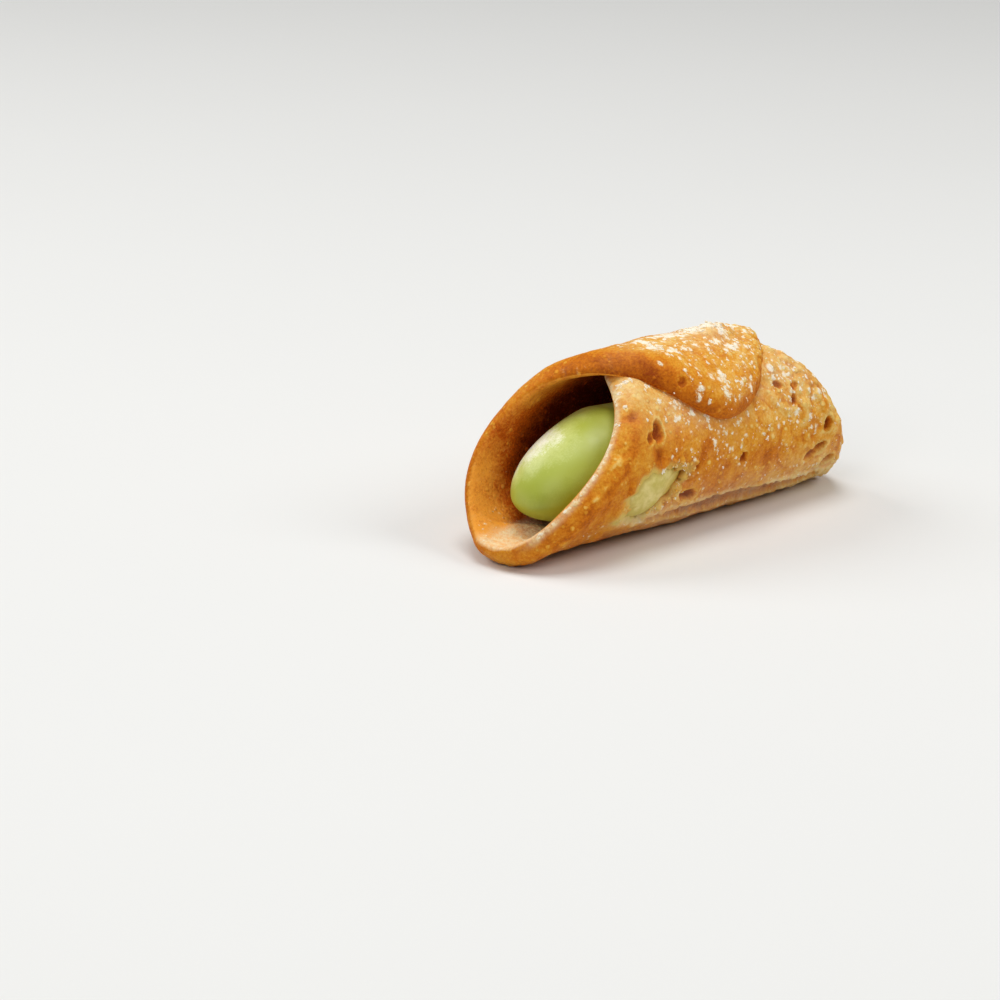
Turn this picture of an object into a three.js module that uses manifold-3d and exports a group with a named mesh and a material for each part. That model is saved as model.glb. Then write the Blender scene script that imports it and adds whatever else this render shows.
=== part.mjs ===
// A filled cannolo: an oval sheet of dough wrapped round a tube and fried, with a slanted
// scoop at both ends, a flap that laps over the seam on top, and pistachio cream inside.
// Millimetres, +Z up. The tube lies along X, its near scoop towards -X and the flap's
// tongue towards -Y. The origin is under the middle of the part, where it rests.
//
// The dough is described flat: "along" runs with the tube, and "round" is the distance
// round the tube from the keel, the longest line of the sheet. Round is positive up the
// back, over the top and down to the flap's tip, and negative up the front to the seam.

import * as THREE from 'three';
import { mergeVertices } from 'three/addons/utils/BufferGeometryUtils.js';
import Module from 'manifold-3d';

const wasm = await Module();
wasm.setup();

const DEGREE = Math.PI / 180;

// The tube.
const TUBE_RADIUS = 16.2; // from the axis to the middle of the dough
const DOUGH = 3.6; // thickness of the fried dough
const HEIGHT_STRETCH = 0.043; // how much taller than wide the tube is
const END_TAPER = 1.0; // both ends are narrower by this radius
const FAR_FLARE = 0.7; // the far end is wider, and the near end narrower, by this
const FLAT_DEPTH = 0.6; // cut off the round keel, so that the part rests on it

// The oval sheet.
const NEAR_REACH = 51.5; // from the middle of the sheet to its near tip, along the keel
const FAR_REACH = 46;
const OVERLAP = 55 * DEGREE; // how far the flap's tip passes the seam tip beneath it
const HALF_WRAP = TUBE_RADIUS * (Math.PI + OVERLAP);
const TIP_LEAN = 2.6; // the flap and seam tips lie this far towards the far end
// A rim's reach falls to nothing at the tip: its blunt share as a rounded end, the rest as
// a bell round the keel.
const NEAR_FLAP_RIM = { blunt: 0.69, taper: 0.93, bell: 0.69, power: 4.2 };
const FAR_FLAP_RIM = { blunt: 0.88, taper: 1.2, bell: 0.76, power: 4.9 };
const NEAR_SEAM_RIM = { blunt: 0.45, taper: 6, bell: 0.5, power: 3 };
const FAR_SEAM_RIM = { blunt: 0.8, taper: 1.09, bell: 0.75, power: 4.1 };
const KEEL_ROUNDING = 0.05; // the share of the way round over which it bends at the keel

// The wrap.
const KEEL_TURN = 13.8 * DEGREE; // the keel lies this far towards the back
const LAP_SINK = 0.4; // how deep the flap is pressed into the dough beneath
const LIFT_TURN = 126 * DEGREE; // where the flap rises on to the seam side
const LIFT_SPREAD = 20 * DEGREE;
const FLAP_HUG = 1.1; // how far the flap's near corner is pressed down
const HUG_TURN = 138 * DEGREE;
const HUG_SPREAD = 29 * DEGREE;
const FAR_DROOP = 13; // how far the flap would droop at the far keel tip's distance
const DROOP_POWER = 2.2;
const DROOP_TURN = 120 * DEGREE;
const DROOP_SPREAD = 22 * DEGREE;
const SWELL = 0.25; // height of the slow unevenness of the fried sheet

// The rim, seen in section: it rolls over widely outside and narrowly inside.
const RIM_OUTER_ROLL = 4.4;
const RIM_INNER_ROLL = 1.3;
const RIM_NOSE = -0.25 * DOUGH; // height of its edge over the middle of the dough
const LIP_HEIGHT = 0.8; // the lip's crest stands this far over the sheet
const LIP_WIDTH = 3.2;
const LIP_END = 12; // past this far along the tube the rim has no lip
const LIP_FADE = 7;

// How finely the sheet is faceted.
const ROWS = 32; // from the keel to the flap tip, and again to the seam tip
const RIM_INSETS = [0, 0.3, 0.9, 1.8, 3.1, 4.6, 6.8];
const MIDDLE_STEPS = 8; // along a row, between the two rims' insets
const RIM_POINTS = 240; // on the flat outline that insets are measured from

// The cream.
const CREAM_GAP = 0.4; // to the dough all round
const CREAM_SIDES = 28;
const DOME_RINGS = 8;
const BODY_RINGS = 7;
const CREAM_SHIFT = -0.6; // the cream leans on the front wall
const NEAR_DOME = { tip: -42.3, base: -24.7, tipDrop: 5.8, baseDrop: 1.2, side: 12.4, top: 10.7 };
const FAR_DOME = { tip: 38.5, base: 22, tipDrop: 4.8, baseDrop: 1.2, side: 12.6, top: 11.2 };

// The tear low in the front wall, where the cream shows.
const TEAR = { along: -18.9, round: -24.6, length: 7.9, width: 4.2, slant: -26 * DEGREE };
const TEAR_CORNERS = 22;
const TEAR_RAGGED = 0.14; // how uneven its outline is, as a share of its size
const TEAR_CREAM_SINK = 0.35; // the cream in it lies this far below the crust

// Burst bubbles: where, then half their length, half their width and their depth.
// A place is along the tube and degrees round from the keel, and a slant turns the
// length from the tube's direction.
const PITS = [
  { along: -17.6, round: -130, length: 2.3, width: 1.5, depth: 1.3, slant: 80 },
  { along: -20.4, round: -127, length: 1.5, width: 1.1, depth: 0.5, slant: 40 },
  { along: -22.9, round: -144, length: 1.3, width: 1.0, depth: 0.6, slant: 0 },
  { along: -18.2, round: -113, length: 1.5, width: 1.1, depth: 0.5, slant: 90 },
  { along: -10.6, round: -110, length: 3.4, width: 1.2, depth: 0.5, slant: 40 },
  { along: 6.3, round: -96, length: 1.2, width: 0.9, depth: 0.7, slant: 60 },
  { along: 19.7, round: -143, length: 1.5, width: 0.8, depth: 0.6, slant: -30 },
  { along: 22.3, round: -130, length: 1.4, width: 1.1, depth: 0.7, slant: 30 },
  { along: 30.7, round: -102, length: 1.7, width: 1.4, depth: 1.2, slant: 60 },
  { along: 29.1, round: -84.5, length: 2.6, width: 1.1, depth: 1.3, slant: -10 },
  { along: 34.2, round: -71, length: 1.9, width: 0.9, depth: 1.0, slant: -25 },
  { along: -8.1, round: 206, length: 1.0, width: 0.9, depth: 0.5, slant: 0 },
  { along: -15, round: 52, length: 1.9, width: 1.3, depth: 0.9, slant: 70 },
  { along: 12, round: 78, length: 2.4, width: 1.2, depth: 1.0, slant: 20 },
  { along: 24, round: 40, length: 1.5, width: 1.2, depth: 0.8, slant: 0 },
];

// The crease under the front, where the wall turns in over its own foot.
const CREASE = { along: 9, round: -59, length: 27, width: 2.2, depth: 1.1, slant: -3 };

// Blisters and lumps of icing sugar that stand up, laid out as the pits are.
const BLISTERS = [
  { along: -31, round: -52, length: 2.0, width: 1.3, depth: 0.6, slant: 60 },
  { along: -26, round: -97, length: 1.5, width: 1.0, depth: 0.5, slant: 70 },
  { along: -29, round: -76, length: 1.7, width: 1.0, depth: 0.5, slant: 65 },
  { along: 17.5, round: -150, length: 3.0, width: 2.0, depth: 0.7, slant: 10 },
  { along: 25, round: -118, length: 2.8, width: 1.8, depth: 0.7, slant: 80 },
  { along: 2, round: -78, length: 3.0, width: 1.6, depth: 0.6, slant: 20 },
  { along: 6, round: 60, length: 3.2, width: 2.2, depth: 0.8, slant: 50 },
  { along: -22, round: 95, length: 2.6, width: 1.8, depth: 0.7, slant: 0 },
];
const SUGAR_MOUND = { along: 12.5, round: 171, length: 5.6, width: 3.4, depth: 1.5, slant: 15 };
const SUGAR_LUMPS = [
  { along: 1.5, round: 211, length: 1.5, width: 0.8, depth: 0.6, slant: 60 },
  { along: -4.8, round: 215, length: 1.3, width: 0.9, depth: 0.6, slant: 80 },
  { along: -8.0, round: 182, length: 1.6, width: 0.8, depth: 0.6, slant: -20 },
  { along: 4.5, round: 214, length: 1.0, width: 0.7, depth: 0.5, slant: 50 },
  { along: -4.0, round: 190, length: 1.2, width: 0.7, depth: 0.5, slant: 10 },
];

// A step from 0 to 1 round a place, over about twice the spread.
function ramp(value, place, spread) {
  return 0.5 * (1 + Math.tanh((value - place) / spread));
}

// How much of its reach a rim keeps, at a share of the way round to the flap or seam tip.
function reachKept(share, { blunt, taper, bell, power }) {
  return blunt * Math.sqrt(1 - share ** taper) + (1 - blunt) * Math.exp(-((share / bell) ** power));
}

// Where the rim lies along the tube, for a distance round it, at the near or the far end.
// The rim crosses the keel squarely, without a point.
function rimAlong(round, nearEnd) {
  const plainShare = Math.min(Math.abs(round) / HALF_WRAP, 1);
  const share = plainShare * Math.tanh(plainShare / KEEL_ROUNDING);
  const lean = TIP_LEAN * share ** 2;
  const [flapRim, seamRim, reach] = nearEnd
    ? [NEAR_FLAP_RIM, NEAR_SEAM_RIM, -NEAR_REACH]
    : [FAR_FLAP_RIM, FAR_SEAM_RIM, FAR_REACH];
  return lean + reach * reachKept(share, round > 0 ? flapRim : seamRim);
}

// The slow waves that frying leaves in the sheet. They meet themselves after a full turn,
// so that the flap follows the dough beneath it.
function swell(along, turn) {
  const long = Math.sin(along / 9 + 0.8) * Math.cos(turn - 0.5);
  const short = Math.sin(along / 5.5 - 2 * turn + 2);
  return SWELL * (long + 0.6 * short);
}

// The middle of the dough, as wrapped.
function wrapped(along, round) {
  const turn = round / TUBE_RADIUS;
  const end = along / NEAR_REACH;
  const lift = (DOUGH - LAP_SINK) * ramp(turn, LIFT_TURN, LIFT_SPREAD);
  const hug = along < 0 ? FLAP_HUG * ramp(turn, HUG_TURN, HUG_SPREAD) : 0;
  const farShare = Math.max(along / FAR_REACH, 0);
  const droop = FAR_DROOP * farShare ** DROOP_POWER * ramp(turn, DROOP_TURN, DROOP_SPREAD);
  const taper = (END_TAPER + hug) * end ** 2 + droop - FAR_FLARE * end;
  const radius = TUBE_RADIUS + lift - taper + swell(along, turn);
  const angle = turn + KEEL_TURN;
  return new THREE.Vector3(
    along,
    radius * Math.sin(angle),
    -radius * Math.cos(angle) * (1 + HEIGHT_STRETCH),
  );
}

// The directions along and round the wrapped dough and straight out of it, at a place.
function directionsAt(along, round) {
  const step = 0.05;
  const alongWay = wrapped(along + step, round).sub(wrapped(along - step, round)).normalize();
  const roundWay = wrapped(along, round + step).sub(wrapped(along, round - step)).normalize();
  const out = new THREE.Vector3().crossVectors(roundWay, alongWay).normalize();
  return { alongWay, roundWay, out };
}

// A point at a height over the middle of the dough.
function pointAt(along, round, height) {
  return wrapped(along, round).addScaledVector(directionsAt(along, round).out, height);
}

// The flat outline of the sheet, as places [along, round].
const outline = Array.from({ length: RIM_POINTS }, (_, index) => {
  const angle = (2 * Math.PI * index) / RIM_POINTS;
  const round = HALF_WRAP * Math.sin(angle);
  return [rimAlong(round, Math.cos(angle) > 0), round];
});

// How far in from the rim a place on the flat sheet lies.
function insetAt(along, round) {
  let nearest = Infinity;
  outline.forEach(([startAlong, startRound], index) => {
    const [endAlong, endRound] = outline[(index + 1) % RIM_POINTS];
    const [sideAlong, sideRound] = [endAlong - startAlong, endRound - startRound];
    const dot = (along - startAlong) * sideAlong + (round - startRound) * sideRound;
    const share = Math.min(Math.max(dot / (sideAlong ** 2 + sideRound ** 2), 0), 1);
    const missAlong = startAlong + share * sideAlong - along;
    const missRound = startRound + share * sideRound - round;
    nearest = Math.min(nearest, Math.hypot(missAlong, missRound));
  });
  return nearest;
}

// How far a rim that is this wide has rolled up, from 0 at the edge to 1 past the roll.
function roll(inset, width) {
  return Math.sqrt(1 - (1 - Math.min(inset / width, 1)) ** 2);
}

// Height of the outer and the inner face of the dough, this far in from its rim.
function outerHeight(along, inset) {
  const lip = LIP_HEIGHT * (1 - ramp(along, LIP_END, LIP_FADE));
  const crest = lip * Math.exp(-(((inset - RIM_OUTER_ROLL) / LIP_WIDTH) ** 2));
  return RIM_NOSE + (DOUGH / 2 - RIM_NOSE + crest) * roll(inset, RIM_OUTER_ROLL);
}

function innerHeight(inset) {
  return RIM_NOSE - (DOUGH / 2 + RIM_NOSE) * roll(inset, RIM_INNER_ROLL);
}

// Turns vertices and the faces between them into a solid for joining and cutting.
function solidFrom(vertices, faces) {
  const geometry = new THREE.BufferGeometry().setFromPoints(vertices).setIndex(faces.flat());
  return solidOf(geometry);
}

function solidOf(geometry) {
  const bare = geometry.clone();
  bare.deleteAttribute('normal');
  bare.deleteAttribute('uv');
  const merged = mergeVertices(bare, 1e-5);
  return new wasm.Manifold(
    new wasm.Mesh({
      numProp: 3,
      vertProperties: new Float32Array(merged.attributes.position.array),
      triVerts: new Uint32Array(merged.index.array),
    }),
  );
}

function geometryOf(solid) {
  const mesh = solid.getMesh();
  const geometry = new THREE.BufferGeometry();
  geometry.setAttribute('position', new THREE.BufferAttribute(mesh.vertProperties, 3));
  geometry.setIndex(new THREE.BufferAttribute(mesh.triVerts, 1));
  geometry.computeVertexNormals();
  return geometry;
}

// The places along the tube where one row of the sheet has its vertices, from rim to rim.
function rowPlaces(round) {
  const [near, far] = [rimAlong(round, true), rimAlong(round, false)];
  const step = 0.1;
  const inside = round - Math.sign(round) * step;
  const stretched = (nearEnd) => {
    const slope = (rimAlong(inside, nearEnd) - rimAlong(round, nearEnd)) / step;
    const widest = (0.4 * (far - near)) / RIM_INSETS.at(-1);
    return RIM_INSETS.map((inset) => inset * Math.min(Math.hypot(1, slope), widest));
  };
  const nearPlaces = stretched(true).map((inset) => near + inset);
  const farPlaces = stretched(false).map((inset) => far - inset).reverse();
  const places = [...nearPlaces];
  const span = farPlaces[0] - nearPlaces.at(-1);
  for (let index = 1; index < MIDDLE_STEPS; index++) {
    places.push(nearPlaces.at(-1) + (span * index) / MIDDLE_STEPS);
  }
  return [...places, ...farPlaces];
}

// One half of the sheet, from the keel out to the flap (side 1) or to the seam (side -1):
// rows of vertices along the tube, outside and inside, closed by a cut along the keel.
function halfSheet(side) {
  const vertices = [];
  const faces = [];
  const addVertex = (along, round, height) => vertices.push(pointAt(along, round, height)) - 1;
  const addFace = (...corners) => {
    if (new Set(corners).size < 3) return;
    faces.push(side > 0 ? corners : corners.reverse());
  };
  // A four-sided patch, split along its shorter diagonal.
  const addPatch = (a, b, c, d) => {
    const [ac, bd] = [[a, c], [b, d]].map(([p, q]) => vertices[p].distanceTo(vertices[q]));
    if (ac <= bd) {
      addFace(a, b, c);
      addFace(a, c, d);
    } else {
      addFace(a, b, d);
      addFace(b, c, d);
    }
  };

  const rows = [];
  for (let row = 0; row < ROWS; row++) {
    const round = row === 0 ? 0 : side * HALF_WRAP * Math.sin((Math.PI / 2) * (row / ROWS));
    const places = rowPlaces(round);
    const outer = [];
    const inner = [];
    places.forEach((along, index) => {
      const onRim = index === 0 || index === places.length - 1;
      const inset = onRim ? 0 : insetAt(along, round);
      outer.push(addVertex(along, round, outerHeight(along, inset)));
      inner.push(onRim ? outer[index] : addVertex(along, round, innerHeight(inset)));
    });
    rows.push({ outer, inner });
  }
  const tip = addVertex(rimAlong(side * HALF_WRAP, true), side * HALF_WRAP, RIM_NOSE);
  const atTip = rows[0].outer.map(() => tip);
  rows.push({ outer: atTip, inner: atTip });

  for (let row = 0; row < ROWS; row++) {
    const [here, next] = [rows[row], rows[row + 1]];
    for (let index = 1; index < here.outer.length; index++) {
      const before = index - 1;
      addPatch(here.outer[before], next.outer[before], next.outer[index], here.outer[index]);
      addPatch(here.inner[index], next.inner[index], next.inner[before], here.inner[before]);
    }
  }
  const { outer, inner } = rows[0];
  for (let index = 1; index < outer.length; index++) {
    addFace(outer[index - 1], outer[index], inner[index - 1]);
    addFace(inner[index - 1], outer[index], inner[index]);
  }
  return solidFrom(vertices, faces);
}

// A rounded lump, half sunk in the outside of the dough.
function lump({ along, round, length, width, depth, slant }) {
  const distance = round * DEGREE * TUBE_RADIUS;
  const { alongWay, out } = directionsAt(along, distance);
  const basis = new THREE.Matrix4();
  const lengthWay = alongWay.clone().applyAxisAngle(out, slant * DEGREE);
  const widthWay = new THREE.Vector3().crossVectors(out, lengthWay);
  basis.makeBasis(lengthWay, widthWay, out);
  basis.scale(new THREE.Vector3(length, width, depth));
  basis.setPosition(pointAt(along, distance, DOUGH / 2));
  return solidOf(new THREE.IcosahedronGeometry(1, 1).applyMatrix4(basis));
}

// A plug with the tear's outline, shrunk by an inset, between two heights over the middle
// of the dough.
function tearPlug(inset, low, high, crown) {
  const vertices = [
    pointAt(TEAR.along, TEAR.round, low),
    pointAt(TEAR.along, TEAR.round, high + crown),
  ];
  const faces = [];
  for (let corner = 0; corner < TEAR_CORNERS; corner++) {
    const angle = (2 * Math.PI * corner) / TEAR_CORNERS;
    const ragged =
      1 + TEAR_RAGGED * (Math.sin(3 * angle + 1) + 0.6 * Math.sin(7 * angle) - 0.4);
    const lengthWise = (TEAR.length * ragged - inset) * Math.cos(angle);
    const widthWise = (TEAR.width * ragged - inset) * Math.sin(angle);
    const along = TEAR.along + lengthWise * Math.cos(TEAR.slant) - widthWise * Math.sin(TEAR.slant);
    const round = TEAR.round + lengthWise * Math.sin(TEAR.slant) + widthWise * Math.cos(TEAR.slant);
    vertices.push(pointAt(along, round, low), pointAt(along, round, high));
    const here = 2 + 2 * corner;
    const next = 2 + 2 * ((corner + 1) % TEAR_CORNERS);
    faces.push([0, here, next], [1, next + 1, here + 1]);
    faces.push([here, here + 1, next], [here + 1, next + 1, next]);
  }
  return solidFrom(vertices, faces);
}

function makeShell() {
  let shell = halfSheet(1).add(halfSheet(-1));
  for (const pit of [...PITS, CREASE]) shell = shell.subtract(lump(pit));
  for (const raised of [...BLISTERS, ...SUGAR_LUMPS, SUGAR_MOUND]) shell = shell.add(lump(raised));
  shell = shell.subtract(tearPlug(0, -DOUGH / 2 - 2.5, DOUGH / 2 + 3, 0));
  const below = new THREE.BoxGeometry(4 * NEAR_REACH, 4 * TUBE_RADIUS, 2 * TUBE_RADIUS);
  below.translate(0, 0, baseHeight() - TUBE_RADIUS);
  return largestBody(shell.subtract(solidOf(below)));
}

// The outermost body of a solid, without the tiny hollows that joining seals in.
function largestBody(solid) {
  return solid.decompose().sort((a, b) => b.volume() - a.volume())[0];
}

// Height of the flat that the part rests on, over the tube's axis.
function baseHeight() {
  return FLAT_DEPTH - (TUBE_RADIUS + DOUGH / 2) * (1 + HEIGHT_STRETCH);
}

// How far the cream may reach from the axis at a place along the tube.
function creamRoom(along) {
  const end = along / NEAR_REACH;
  const middleOfDough = TUBE_RADIUS + FAR_FLARE * end - END_TAPER * end ** 2 - 1.6 * SWELL;
  return middleOfDough - DOUGH / 2 - CREAM_GAP;
}

// One ring of the cream: a cross-section that is a wide arch above its own middle and
// reaches down to the keel below it.
function creamRing(along, size, drop, side, top) {
  const floor = creamRoom(along) * (1 + HEIGHT_STRETCH);
  const points = [];
  for (let corner = 0; corner < CREAM_SIDES; corner++) {
    const angle = (2 * Math.PI * corner) / CREAM_SIDES;
    const height = Math.sin(angle) > 0 ? top : floor - drop;
    points.push(
      new THREE.Vector3(
        along,
        CREAM_SHIFT + size * side * Math.cos(angle),
        -drop + size * height * Math.sin(angle),
      ),
    );
  }
  return points;
}

function domeRings(dome) {
  const rings = [];
  for (let ring = 1; ring <= DOME_RINGS; ring++) {
    const angle = ((Math.PI / 2) * ring) / DOME_RINGS;
    const outward = Math.cos(angle);
    const along = dome.base + (dome.tip - dome.base) * outward;
    const drop = dome.baseDrop + (dome.tipDrop - dome.baseDrop) * outward;
    rings.push(creamRing(along, Math.sin(angle), drop, dome.side, dome.top));
  }
  return rings;
}

// The rings between the two domes. The cream soon fills the tube's width, and its height
// only towards the middle.
function bodyRings() {
  const rings = [];
  for (let ring = 1; ring <= BODY_RINGS; ring++) {
    const share = ring / (BODY_RINGS + 1);
    const along = NEAR_DOME.base + (FAR_DOME.base - NEAR_DOME.base) * share;
    const inward = Math.sin(Math.PI * share);
    const mix = (near, far, filled, full) => {
      const plain = near + (far - near) * share;
      return plain + (filled - plain) * full;
    };
    const room = creamRoom(along);
    const drop = mix(NEAR_DOME.baseDrop, FAR_DOME.baseDrop, 0, inward ** 6);
    const side = mix(NEAR_DOME.side, FAR_DOME.side, room + CREAM_SHIFT, inward ** 0.7);
    const top = mix(NEAR_DOME.top, FAR_DOME.top, room, inward ** 6);
    rings.push(creamRing(along, 1, drop, side, top));
  }
  return rings;
}

function makeFilling() {
  const rings = [...domeRings(NEAR_DOME), ...bodyRings(), ...domeRings(FAR_DOME).reverse()];
  const vertices = rings.flat();
  const addTip = ({ tip, tipDrop }) => vertices.push(new THREE.Vector3(tip, CREAM_SHIFT, -tipDrop)) - 1;
  const nearTip = addTip(NEAR_DOME);
  const farTip = addTip(FAR_DOME);
  const faces = [];
  for (let corner = 0; corner < CREAM_SIDES; corner++) {
    const next = (corner + 1) % CREAM_SIDES;
    const last = (rings.length - 1) * CREAM_SIDES;
    faces.push([nearTip, next, corner], [farTip, last + corner, last + next]);
    for (let ring = 0; ring < last; ring += CREAM_SIDES) {
      const [a, b] = [ring + corner, ring + next];
      faces.push([a, b, b + CREAM_SIDES], [a, b + CREAM_SIDES, a + CREAM_SIDES]);
    }
  }
  const showing = tearPlug(CREAM_GAP, -DOUGH / 2 - 3.5, DOUGH / 2 - TEAR_CREAM_SINK - 0.5, 0.5);
  return solidFrom(vertices, faces).add(showing);
}

const crust = new THREE.MeshStandardMaterial({ color: 0xc98a45, roughness: 0.75, metalness: 0 });
const cream = new THREE.MeshStandardMaterial({ color: 0xb7bd5e, roughness: 0.45, metalness: 0 });

const shell = new THREE.Mesh(geometryOf(makeShell()), crust);
shell.name = 'shell';
const filling = new THREE.Mesh(geometryOf(makeFilling()), cream);
filling.name = 'filling';

const cannolo = new THREE.Group();
cannolo.add(shell, filling);
const extent = new THREE.Box3().setFromObject(cannolo);
const middle = extent.getCenter(new THREE.Vector3());
cannolo.position.set(-middle.x, -middle.y, -extent.min.z);

export default cannolo;
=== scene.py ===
"""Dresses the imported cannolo: the fried shell, the pistachio cream, the icing sugar and a small
studio round them. Sizes are in millimetres until a mesh is made, and then in metres."""

from math import cos, pi, radians, sin

import bpy
import numpy as np
from bpy.props import FloatProperty, FloatVectorProperty, IntProperty, PointerProperty
from mathutils import Matrix, Vector, noise


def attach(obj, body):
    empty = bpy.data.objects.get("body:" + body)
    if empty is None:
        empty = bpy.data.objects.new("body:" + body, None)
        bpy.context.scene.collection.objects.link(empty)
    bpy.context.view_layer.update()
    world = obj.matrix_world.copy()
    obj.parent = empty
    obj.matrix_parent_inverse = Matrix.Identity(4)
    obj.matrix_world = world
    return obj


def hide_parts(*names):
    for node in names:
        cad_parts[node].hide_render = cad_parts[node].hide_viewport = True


bl_info = {
    "name": "Filled cannolo",
    "version": (1, 0, 0),
    "blender": (4, 5, 0),
    "location": "View3D > Sidebar > Cannolo",
    "description": "Makes the shell, cream and sugar of a filled cannolo over its packed solids",
    "category": "Object",
}

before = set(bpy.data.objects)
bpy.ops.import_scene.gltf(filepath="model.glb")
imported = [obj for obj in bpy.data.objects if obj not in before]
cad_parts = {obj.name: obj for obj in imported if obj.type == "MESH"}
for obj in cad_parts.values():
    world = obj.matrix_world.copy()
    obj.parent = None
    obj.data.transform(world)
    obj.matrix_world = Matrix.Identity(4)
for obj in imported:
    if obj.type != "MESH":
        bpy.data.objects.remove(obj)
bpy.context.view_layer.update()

# ---------------------------------------------------------------------------------------
# The wrapped sheet, as in the part's source. "Along" runs with the tube, and "round" is the
# distance round it from the keel, positive up the back, over the top and down the front.

TUBE_RADIUS = 16.2
DOUGH = 3.6
HEIGHT_STRETCH = 0.043
END_TAPER = 1.0
FAR_FLARE = 0.7
NEAR_REACH = 51.5
FAR_REACH = 46.0
HALF_WRAP = TUBE_RADIUS * (pi + radians(55))
TIP_LEAN = 2.6
KEEL_ROUNDING = 0.05
NEAR_FLAP_RIM = (0.69, 0.93, 0.69, 4.2)
FAR_FLAP_RIM = (0.88, 1.2, 0.76, 4.9)
NEAR_SEAM_RIM = (0.45, 6.0, 0.5, 3.0)
FAR_SEAM_RIM = (0.8, 1.09, 0.75, 4.1)

KEEL_TURN = radians(13.8)
LAP_SINK = 0.4
LIFT_TURN, LIFT_SPREAD = radians(126), radians(20)
FLAP_HUG, HUG_TURN, HUG_SPREAD = 1.1, radians(138), radians(29)
FAR_DROOP, DROOP_POWER, DROOP_TURN, DROOP_SPREAD = 13.0, 2.2, radians(120), radians(22)
SWELL = 0.25

FLOOR_EASE = 0.5
RIM_OUTER_ROLL = 4.4
RIM_INNER_ROLL = 1.3
RIM_NOSE = -0.25 * DOUGH
LIP_HEIGHT, LIP_WIDTH, LIP_END, LIP_FADE = 0.8, 3.2, 12.0, 7.0

CREAM_GAP = 0.4
CREAM_SHIFT = -0.6
NEAR_DOME = {"tip": -42.4, "base": -20.0, "tip_drop": 5.8, "base_drop": 1.4, "side": 12.6, "top": 11.7}
FAR_DOME = {"tip": 38.5, "base": 20.0, "tip_drop": 4.8, "base_drop": 1.2, "side": 12.6, "top": 11.5}
FULL_ABOVE, FULL_BELOW = 0.90, 0.75
WAIST, WAIST_LENGTH, TOP_WAIST = 1.3, 18.0, 0.45
# Under the tip of the seam side the cream is pressed into the dough all round. The seam
# side ends at this turn.
PLUG_HALF, PLUG_FADE, PLUG_PRESS = 1.5, 2.5, 1.2
SEAM_END = radians(125)

TEAR = {"along": -18.9, "round": -24.6, "length": 7.9, "width": 4.2, "slant": radians(-26)}
TEAR_RAGGED = 0.14
TEAR_OVERLAP = 1.12
BOSS_CORNERS, BOSS_RINGS = 96, 18

# The dough's small relief.
BUBBLE_HEIGHT, WRINKLE_DEPTH, WELT_HEIGHT, CLUMP_HEIGHT = 0.42, 0.16, 0.34, 0.22
# The crease's darkening is painted shade.
PIT_EDGE_HEIGHT, PIT_DEEPENING, CREASE_SHADE = 0.26, 1.15, 0.6
# Past this far round, the sheet is the flap's layer and not the one beneath it.
FLAP_LAYER = 40

# Where the tube's axis and the middle of the sheet lie in the part's own frame.
TUBE_PLACE = np.array([2.724, -0.094, 18.174])

# Each spot is along, degrees round, half length, half width, depth or height, slant.
PITS = [
    (-17.6, -130, 2.3, 1.5, 1.3, 80),
    (-20.4, -127, 1.5, 1.1, 0.5, 40),
    (6.3, -96, 1.2, 0.9, 0.7, 60),
    (19.1, -138, 1.5, 0.8, 0.6, -30),
    (23.3, -134, 1.2, 0.8, 0.6, 30),
    (22.2, -125, 1.3, 0.9, 0.6, 60),
    (31.6, -102, 1.6, 1.3, 1.2, 60),
    (28.6, -84, 3.3, 1.2, 1.1, 20),
    (30.4, -86.5, 1.6, 0.9, 0.8, 20),
    (33.8, -71, 2.5, 1.0, 1.3, 20),
    (-8.1, 206, 1.0, 0.9, 0.4, 0),
    (-9.2, -78.5, 2.6, 1.3, 1.3, -10),
    (-21.3, -65.5, 1.7, 0.7, 0.8, 0),
    (-15, 52, 1.9, 1.3, 0.9, 70),
    (12, 78, 2.4, 1.2, 1.0, 20),
    (24, 40, 1.5, 1.2, 0.8, 0),
]
# Shallow hollows with soft edges that browned a little more.
DIMPLES = [
    (-22.9, -144, 1.5, 1.1, 0.80, 0),
    (-18.1, -114, 2.1, 1.6, 0.80, 90),
    (-48.6, -66, 2.4, 1.3, 0.35, 30),
    (-6.0, -105, 4.8, 1.3, 0.28, 50),
    (14.0, -92, 3.5, 2.6, 0.20, 20),
    (0.5, -88, 3.4, 1.4, 0.22, 60),
    (18, 60, 3.0, 2.0, 0.35, 40),
]
CREASE = (9, -59, 27, 2.2, 1.1, -3)
BLISTERS = [
    (-31, -52, 2.0, 1.3, 0.6, 60),
    (-26, -97, 1.5, 1.0, 0.5, 70),
    (-29, -76, 1.7, 1.0, 0.5, 65),
    (17.5, -150, 3.0, 2.0, 0.7, 10),
    (25, -118, 2.8, 1.8, 0.7, 80),
    (31.0, -116, 1.9, 1.2, 0.5, 80),
    (2, -78, 3.0, 1.6, 0.6, 20),
    (6, 60, 3.2, 2.2, 0.8, 50),
    (-22, 95, 2.6, 1.8, 0.7, 0),
]
SUGAR_MOUND = (12.5, 171, 5.6, 3.4, 1.5, 15)
MOUND_SUGAR = (12.5, 163, 6.5, 2.9, 0, 12)
# A low crest inside the near mouth, in front of the cream.
KEEL_CREST = (-39.3, -4, 8.0, 4.0, 2.1, 46)

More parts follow.
